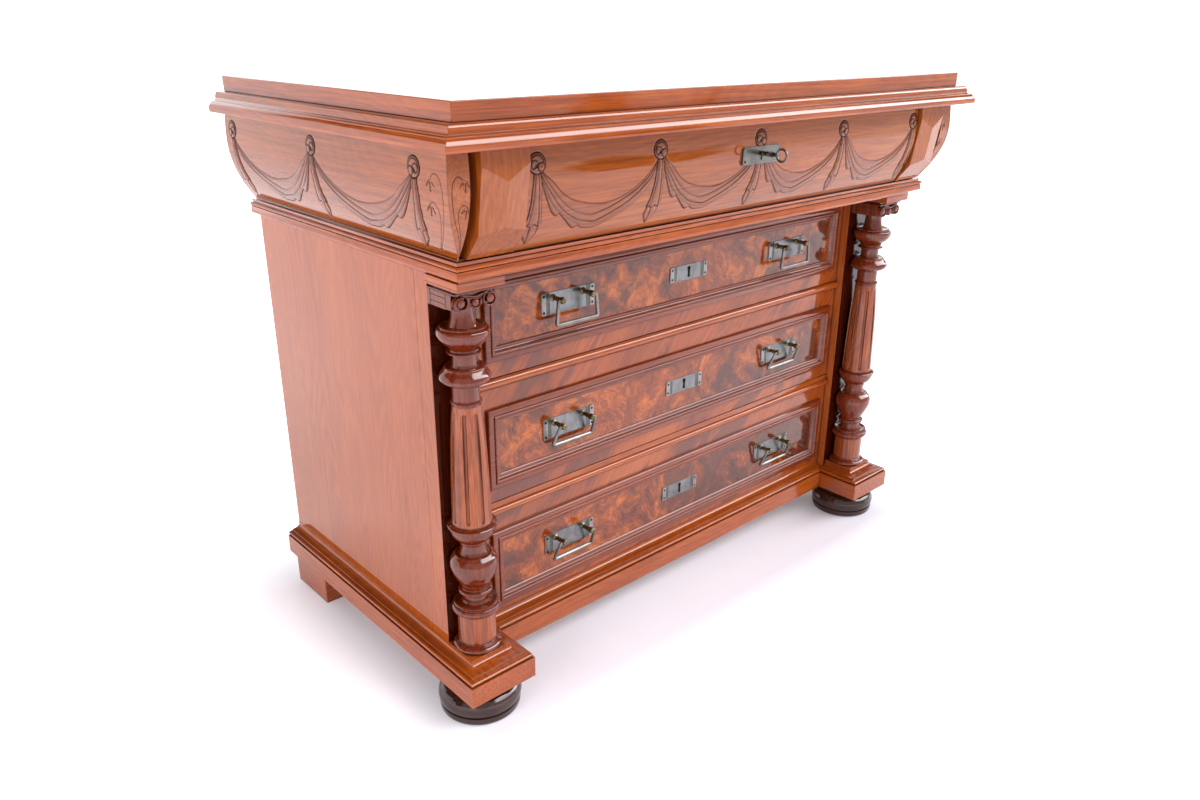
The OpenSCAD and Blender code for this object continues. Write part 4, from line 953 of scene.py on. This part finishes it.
# Folds of one swag, from the knot on its left to the next, as (distance, height)
FOLDS = [
    [(6, 99), (15, 91), (24, 84), (39, 70), (54, 61), (64, 57), (80, 52.5), (94, 50), (114, 48.5), (134, 51),
     (154, 58), (174, 69), (186, 79), (196, 89), (201, 95)],
    [(6, 97), (12, 90), (20, 80), (35, 64), (50, 52), (64, 44), (80, 38), (94, 35), (104, 36), (124, 41),
     (139, 47), (154, 54), (169, 62), (184, 73), (196, 86), (201, 93)],
    [(5, 95), (10, 87), (14, 81), (25, 67), (36, 55), (47, 46), (60, 38), (74, 31), (94, 26), (104, 24.5),
     (114, 27), (134, 35), (149, 42), (164, 51), (178, 62), (190, 73), (198, 84), (202, 91)],
    [(5, 94), (11, 80), (21, 63), (32, 51), (46, 42), (60, 33.5), (74, 26), (90, 21.5), (107, 20), (125, 25),
     (150, 36), (170, 47.5), (185, 61), (196, 77), (202, 89)],
    [(4, 93), (9, 79), (16, 64), (26, 48), (33, 41.5), (36, 40.5), (40, 43.5), (44, 40.5), (52, 34), (60, 27),
     (69, 20.5), (73, 20), (78, 22.5), (87, 18), (107, 16), (118, 18), (125, 20.5), (150, 31), (170, 43.5),
     (185, 58), (196, 74), (202, 86)],
]
# How deep each fold line is cut along its run, as (share of the run, depth)
FOLD_CUTS = [
    [(0, 0.9), (0.3, 0.6), (1, 0.5)], [(0, 0.7), (0.35, 0.35), (0.6, 0.8), (1, 1.0)],
    [(0, 0.8), (0.4, 0.5), (0.55, 0.9), (1, 1.0)], [(0, 0.6), (0.25, 0.3), (0.6, 0.0), (1, 0.2)],
    [(0, 0.9), (0.35, 0.9), (0.5, 0.4), (1, 0.5)],
]
# Edges of the hanging end's folds and of its tip, as (distance from the knot, height)
TAIL_EDGES = [
    [(-5, 96), (-7, 80), (-8, 60), (-9, 45), (-12, 33)], [(-2.5, 96), (-3.8, 80), (-4.5, 60), (-6.5, 34)],
    [(1.5, 96), (2.2, 80), (4, 60), (7, 46), (9, 33)],
    [(5, 96), (6.5, 80), (8.5, 60), (11.5, 45), (14.5, 32)],
]
TAIL_TIP = [
    [(-10, 33), (-11.5, 22), (-6.5, 15), (-1, 8)], [(-2, 33), (-1.5, 22), (-1, 8)],
    [(11.5, 32), (10.5, 21), (5, 13), (-1, 8)],
]


def bump_between(q):
    """Rounded fold across a band, q running from 0 to 1."""
    return np.sqrt(np.clip(np.sin(np.pi * np.clip(q, 0, 1)), 0, 1))


FAR = 99.0


def segment_distance(u, h, points):
    best = np.full(u.shape, FAR)
    for (x0, z0), (x1, z1) in zip(points[:-1], points[1:]):
        dx, dz = x1 - x0, z1 - z0
        t = np.clip(((u - x0) * dx + (h - z0) * dz) / (dx * dx + dz * dz), 0, 1)
        best = np.minimum(best, np.hypot(u - x0 - t * dx, h - z0 - t * dz))
    return best


def cut_line(dist, width):
    return np.exp(-((dist / width) ** 2))


def engrave(lift, dark, mark, depth):
    """Cuts a mark into a face and paints shade into the cut."""
    lift -= depth * mark
    np.maximum(dark, mark, out=dark)


def swag(u, h, lift, dark, drape_tone_and_shade):
    """Adds the folds of one swag to the height and darkness of a carved face; u runs from its left knot."""
    inside = (u > 4) & (u < SPAN - 4)
    lines, cuts = [], []
    for fold, cut in zip(FOLDS, FOLD_CUTS):
        curve = np.array(smooth_points(fold, 2.0, 60))
        lines.append(np.interp(u, curve[:, 0], curve[:, 1]))
        cuts.append(np.interp(u / SPAN, [c[0] for c in cut], [c[1] for c in cut]))
    for upper, lower in zip(lines[:-1], lines[1:]):
        width = np.maximum(upper - lower, 0.5)
        q = (upper - h) / width
        on = inside & (q > 0) & (q < 1)
        rise = bump_between(q) * np.minimum(0.13 * width, 1.15)
        lift[on] = np.maximum(lift[on], rise[on])
        # Drapery tone, deeper at each fold's edges as painted shade.
        drape_tone_and_shade[on] = (0.62 - 0.34 * bump_between(q) * (1 if width.mean() > 6 else 0.6))[on]
    for fold, depth in zip(FOLDS, cuts):
        near = inside & (np.abs(h - np.interp(u, *np.array(fold).T)) < 12)
        dist = np.full(u.shape, FAR)
        dist[near] = segment_distance(u[near], h[near], smooth_points(fold, 4.0, 60))
        engrave(lift, dark, cut_line(dist, 0.62) * depth, 0.55)


def tail(u, h, lift, dark, drape_tone_and_shade):
    """Hanging end of the drapery under a knot, with its folded tip; u is measured from the knot."""
    def sheet(edges, lo, hi, rise):
        xs = [np.interp(h, [p[1] for p in e[::-1]], [p[0] for p in e[::-1]]) for e in edges]
        level = (h > lo) & (h < hi)
        body = level & (u > xs[0]) & (u < xs[-1])
        lift[body] = 0.0
        for a, b in zip(xs[:-1], xs[1:]):
            width = np.maximum(b - a, 0.3)
            q = (u - a) / width
            on = level & (q > 0) & (q < 1)
            lift[on] = rise + (bump_between(q) * np.minimum(0.16 * width, 1.0))[on]
            # Drapery tone, deeper at each fold's edges as painted shade.
            drape_tone_and_shade[on] = (0.66 - 0.36 * bump_between(q))[on]
        for x, strength in zip(xs, [0.9] + [0.75] * (len(xs) - 2) + [0.9]):
            engrave(lift, dark, cut_line(u - x, 0.65) * strength * level, 0.5)

    sheet(TAIL_TIP, 8.2, 33.0, 0.1)
    foot = 32.5 + 1.3 * np.sin((u + 12) * 0.52)
    sheet(TAIL_EDGES, foot, 96.0, 0.55)
    engrave(lift, dark, cut_line(h - foot, 0.6) * ((u > -12.5) & (u < 15)), 0.5)


def knot(u, h, lift, dark, drape_tone_and_shade):
    """Coiled knot: a low dome with a scroll cut through it."""
    x, z = u, h - KNOT_H
    r = np.hypot(x, z)
    on = r < KNOT_R
    lift[on] = 0.3 + 0.9 * np.sqrt(np.clip(1 - (r[on] / KNOT_R) ** 2, 0, 1))
    drape_tone_and_shade[on] = 0.30
    lobe = KNOT_R / 2
    upper = np.where(z > -0.5, np.abs(np.hypot(x + 0.2, z) - KNOT_R + 2.9), FAR)
    left = np.where(x < 1, np.abs(np.hypot(x + 4.0, z + 1.2) - 5.2), FAR)
    right = np.abs(np.hypot(x - lobe, z + 4.6) - 5.2)
    tongue = np.abs(z - 0.42 * x + 1.0) + 9 * ((x < -3) | (x > 5))
    scroll = cut_line(np.minimum(np.minimum(upper, left), np.minimum(right, tongue)), 0.85) * on
    shaded_hollow = np.exp(-(((x + 1.5) / 3.4) ** 2 + ((z + 4.2) / 2.2) ** 2)) * on
    rim = cut_line(r - KNOT_R, 0.95)
    # The scroll, rim and hollow are cut in and darkened as painted shade.
    lift -= 0.8 * scroll + 0.7 * rim + 0.9 * shaded_hollow
    np.maximum(dark, np.maximum(0.9 * scroll, np.maximum(rim, shaded_hollow)), out=dark)


def sprig(u, h, lift, dark, stem, leaves):
    """Incised stem with three leaves; u is measured from the corner of the frieze."""
    curve = smooth_points(stem, 2.0, 90)
    engrave(lift, dark, cut_line(segment_distance(u, h, curve), 0.6) * 0.75, 0.45)
    for (x0, z0), (x1, z1), width in leaves:
        dx, dz = x1 - x0, z1 - z0
        length = hypot(dx, dz)
        t = ((u - x0) * dx + (h - z0) * dz) / length**2
        across = np.abs((u - x0) * dz - (h - z0) * dx) / length
        half = width * np.sqrt(np.clip(np.sin(np.pi * np.clip(t, 0, 1) ** 0.7), 0, 1)) + 1e-6
        leaf = np.clip(1 - across / half, 0, 1) * (t > 0) * (t < 1)
        # Each leaf is cut in and darkened as painted shade.
        lift -= 1.1 * leaf
        np.maximum(dark, np.clip(leaf * 1.6, 0, 1), out=dark)


# Sprigs at the front corners, each a stem and its leaves as (root, tip, half width)
SIDE_SPRIGS = [
    ([(33.5, 97), (31.5, 101), (25.5, 104.5), (17.5, 102), (12.5, 95), (10, 80), (11.5, 60), (16.5, 42),
      (25.5, 22), (34.5, 9)],
     [((33.5, 97), (33.5, 83), 2.4), ((34.5, 97), (42.5, 89), 1.7), ((32.5, 97), (24.5, 90), 1.7)]),
    ([(36.5, 70), (30.5, 72), (23.5, 68), (19.5, 60), (19.5, 50), (22.5, 38), (28.5, 22), (35.5, 9)],
     [((36.5, 69), (45.5, 60), 1.8), ((35.5, 69), (37.5, 53), 2.2), ((33.5, 67), (27.5, 58), 1.7)]),
]
FRONT_SPRIGS = [
    ([(20, 99), (13, 103), (7, 97), (5, 88), (5, 70), (7, 50), (12, 32), (20, 9)],
     [((21.5, 98), (23, 84), 2.2), ((21, 98), (15.5, 91), 1.6), ((22.5, 98), (28.5, 90), 1.6)]),
    ([(27, 67), (20, 70.5), (14, 66), (12, 58), (14, 45), (17, 30), (24, 9)],
     [((23.5, 67), (16.5, 60.5), 1.6), ((24, 67), (24, 54), 2.0), ((25, 67), (29, 59), 1.5)]),
]


def carve(cut, maps, u, h, where, *shape):
    """Lets a cut work on the part of the maps where a mask holds."""
    some = maps[:, where]
    cut(u[where], h[where], *some, *shape)
    maps[:, where] = some


def drapery(u, h, knots, stretch=1.0):
    """Height, painted cut shade, and drapery tone with painted fold shade of swags, tails and knots; knots
    lists where the knots are along u.
    """
    maps = np.zeros((3, *u.shape))
    for x in knots[:-1]:
        local = (u - x) / stretch
        carve(swag, maps, local, h, (local > 0) & (local < SPAN))
    for x in knots:
        for cut in (tail, knot):
            carve(cut, maps, u - x, h, np.abs(u - x) < 20)
    return maps


PROUD, SUNK = 0.7, 0.6


def carved_skin(name, mat, body, points, normals, maps):
    """Thin carved face over a swelling solid, whose rim turns down into it."""
    lift, dark, drape_tone_and_shade = maps
    rows, cols = dark.shape
    outer = (points + normals * (PROUD + lift)[..., None]).reshape(-1, 3)
    order = np.arange(rows * cols).reshape(rows, cols)
    rim = [*order[0], *order[1:, -1], *order[-1, -2::-1], *order[-2:0:-1, 0]]
    rim = [int(i) for i in rim]
    skirt = points.reshape(-1, 3)[rim] - SUNK * normals.reshape(-1, 3)[rim]
    n, m = rows * cols, len(rim)
    faces = grid_faces(rows, cols)
    faces += [(rim[(i + 1) % m], rim[i], n + i, n + (i + 1) % m) for i in range(m)]
    mesh = bpy.data.meshes.new(name)
    mesh.from_pydata((np.concatenate([outer, skirt]) * MM).tolist(), [], faces)
    # carve holds the painted shade of the cuts; the other attribute holds the drapery tone with painted fold
    # shade.
    for label, values in (("carve", dark), ("drape_tone_and_shade", drape_tone_and_shade)):
        attr = mesh.attributes.new(label, "FLOAT", "POINT")
        attr.data.foreach_set("value", np.concatenate([values.ravel(), np.zeros(m)]).astype(np.float32))
    mesh.update()
    finish_piece(eased(new_object(name, mesh), 0, 60), mat, body)


def frieze_front():
    """Carved face of the frieze drawer, with five knots."""
    u, h = np.meshgrid(np.arange(-427.6, 427.7, STEP), np.arange(1.4, 130.7, STEP))
    maps = drapery(u, h, [SPAN * k for k in range(-2, 3)])
    slope = swell_slope(h)
    size = np.sqrt(1 + slope**2)
    points = np.stack([u, BACK - FRIEZE_D + swell(h), FRIEZE_Z + h], -1)
    normals = np.stack([np.zeros_like(u), -1 / size, slope / size], -1)
    carved_skin("frieze_drawer_carving", carved_x, "frieze_drawer", points, normals, maps)


def frieze_end(side):
    """Carved side of the frieze, turned round its front corner to the narrow strip beside the groove."""
    strip = np.arange(0, STRIP_W + 0.2, STEP * 0.75)
    columns = np.concatenate([-strip[:0:-1], np.arange(0, SIDE_LENGTH, STEP)])
    c, h = np.meshgrid(columns, np.arange(0.3, 131.8, STEP))
    on_side = c >= 0
    maps = drapery(c, h, [SIDE_KNOT + SIDE_SPAN * k for k in range(3)], SIDE_SPAN / SPAN)
    for sprigs, mask, u in ((SIDE_SPRIGS, on_side & (c < 50), c), (FRONT_SPRIGS, ~on_side, -c)):
        for stem, leaves in sprigs:
            carve(sprig, maps[:2], u, h, mask, stem, leaves)
    s, slope = swell(h), swell_slope(h)
    size = np.sqrt(1 + slope**2)
    x = np.where(on_side, FRIEZE_HALF - s, FRIEZE_HALF - s + c * (FRIEZE_HALF - s - GROOVE_X) / STRIP_W)
    depth = np.where(on_side, (FRIEZE_D - s) * (1 - c / SIDE_LENGTH), FRIEZE_D - s)
    points = np.stack([side * x, BACK - depth, FRIEZE_Z + h], -1)
    sideways = np.where(on_side, 1.0, 0.0)
    forwards = np.where(c <= 0, -1.0, 0.0)
    normals = np.stack([side * sideways / size, forwards / size, slope / size], -1)
    carved_skin(f"frieze_{side_name(side)}_carving", carved_y, "case", points, normals, maps)


frieze_front()
for side in (-1, 1):
    frieze_end(side)


PALE = (0.97, 0.98, 1.0, 1)
FLOOR_NEAR, FLOOR_FAR, FLOOR_SIDE = -3.4, 14, 14
# Half the footprint, and how the floor glows by the distance from it, so that it stays dim under the base
FOOTPRINT = (0.50, 0.26, 0.0)
FLOOR_GLOW = ((0.0, 0.05), (0.07, 0.36), (0.26, 1.0))


def floor():
    """Plain pale floor with a painted glow that lifts it to white away from the object, kept low under the
    base.
    """
    t = Material("pale_floor")
    at = t.place()
    shade = t.noise(at, 3.0, 3.0)
    offset = t.vector("SUBTRACT", t.vector("ABSOLUTE", at), FOOTPRINT)
    away = t.vector("LENGTH", t.vector("MAXIMUM", offset))
    t.set(Base_Color=t.ramp(shade, (0.3, (0.84, 0.81, 0.88)), (0.7, (0.87, 0.84, 0.91))), Roughness=0.5,
          Emission_Color=PALE, Emission_Strength=t.ramp(away, *[(d, (glow,) * 3) for d, glow in FLOOR_GLOW]))
    mesh = bpy.data.meshes.new("floor")
    corners = [(-FLOOR_SIDE, FLOOR_NEAR, 0), (FLOOR_SIDE, FLOOR_NEAR, 0), (FLOOR_SIDE, FLOOR_FAR, 0),
               (-FLOOR_SIDE, FLOOR_FAR, 0)]
    mesh.from_pydata(corners, [], [(0, 1, 2, 3)])
    mesh.materials.append(t.mat)
    new_object("floor", mesh)


# Studio light: strengths of the surroundings, the window's lower and upper slope, and the way to the doorway
WHITE, CEILING, ROOM, WINDOW = 1.9, 0.12, 0.85, 11.0
WINDOW_FOOT, WINDOW_HEAD = 0.56, 0.88
DOORWAY = (0.70, -0.69, -0.13)
DRIFT = 0.14
BACKDROP = 1.1
LIT_POINT = (0, 0, 0.45)


def area_light(name, place, size, power):
    """Soft light that faces the object and isn't mirrored in its polish."""
    data = bpy.data.lights.new(name, "AREA")
    data.shape = "RECTANGLE"
    data.size, data.size_y = size
    data.energy = power
    obj = new_object(name, data)
    obj.location = place
    obj.rotation_euler = (Vector(LIT_POINT) - Vector(place)).to_track_quat("-Z", "Y").to_euler()
    obj.visible_glossy = False


def surroundings():
    """White walls behind and beside the object; in front a dim room with a doorway and one long window.

    The window lies between two slopes above the x axis, so a bead along x mirrors it from end to end.
    """
    world = bpy.data.worlds.new("studio")
    bpy.context.scene.world = world
    sky = Nodes(world)
    way = sky.add("TexCoord").outputs["Generated"]
    x, y, z = sky.add("SeparateXYZ", {0: way}).outputs[:3]
    height = sky.minus(z, sky.fade(y, -0.25, 0.45, -0.5, 0.36))
    walls = sky.fade(height, 0.0, 0.12, WHITE, CEILING)
    drift = sky.noise(way, 14.0, 3.0, 0.5, output="Color")
    pushed = sky.add("VectorMath", {0: drift, 1: (DRIFT,) * 3, 2: way}, operation="MULTIPLY_ADD")
    door = Vector(DOORWAY) + Vector((DRIFT / 2,) * 3)
    off = sky.vector("DISTANCE", pushed.outputs["Vector"], door)
    room = sky.times(sky.fade(z, -0.20, 0.04, WHITE, ROOM), sky.fade(off, 0.05, 0.08, 0.04, 1.0))
    room = sky.times(room, sky.fade(z, 0.65, 0.9, 1.0, 0.0))
    reach = sky.vector("LENGTH", sky.add("CombineXYZ", {1: y, 2: z}).outputs[0])
    slope = sky.math("DIVIDE", z, reach)
    window = sky.times(sky.fade(slope, WINDOW_FOOT - 0.05, WINDOW_FOOT + 0.05, 0.0, WINDOW),
                      sky.fade(slope, WINDOW_HEAD - 0.04, WINDOW_HEAD + 0.04, 1.0, 0.0))
    ahead = sky.fade(y, -0.12, -0.02, 1.0, 0.0)
    aside = sky.times(sky.fade(x, 0.05, 0.22, 0.0, 1.0), ahead)
    front = sky.plus(sky.times(window, aside), sky.times(room, ahead))
    ray = sky.add("LightPath").outputs
    softer = sky.fade(ray["Is Diffuse Ray"], 0.0, 1.0, 1.0, 0.32)
    lit = sky.plus(walls, sky.times(front, softer))
    shown = sky.add("Mix", {0: ray["Is Camera Ray"], 2: lit, 3: BACKDROP}).outputs[0]
    back = sky.t.nodes["Background"]
    sky.put(back.inputs["Strength"], shown)
    sky.put(back.inputs["Color"], PALE)


floor()
area_light("side_light", (-3.6, -0.9, 1.5), (2.2, 1.6), 92)
area_light("front_light", (0.2, -3.6, 1.25), (2.4, 1.2), 32)
surroundings()

bpy.context.scene.view_settings.view_transform = "Standard"
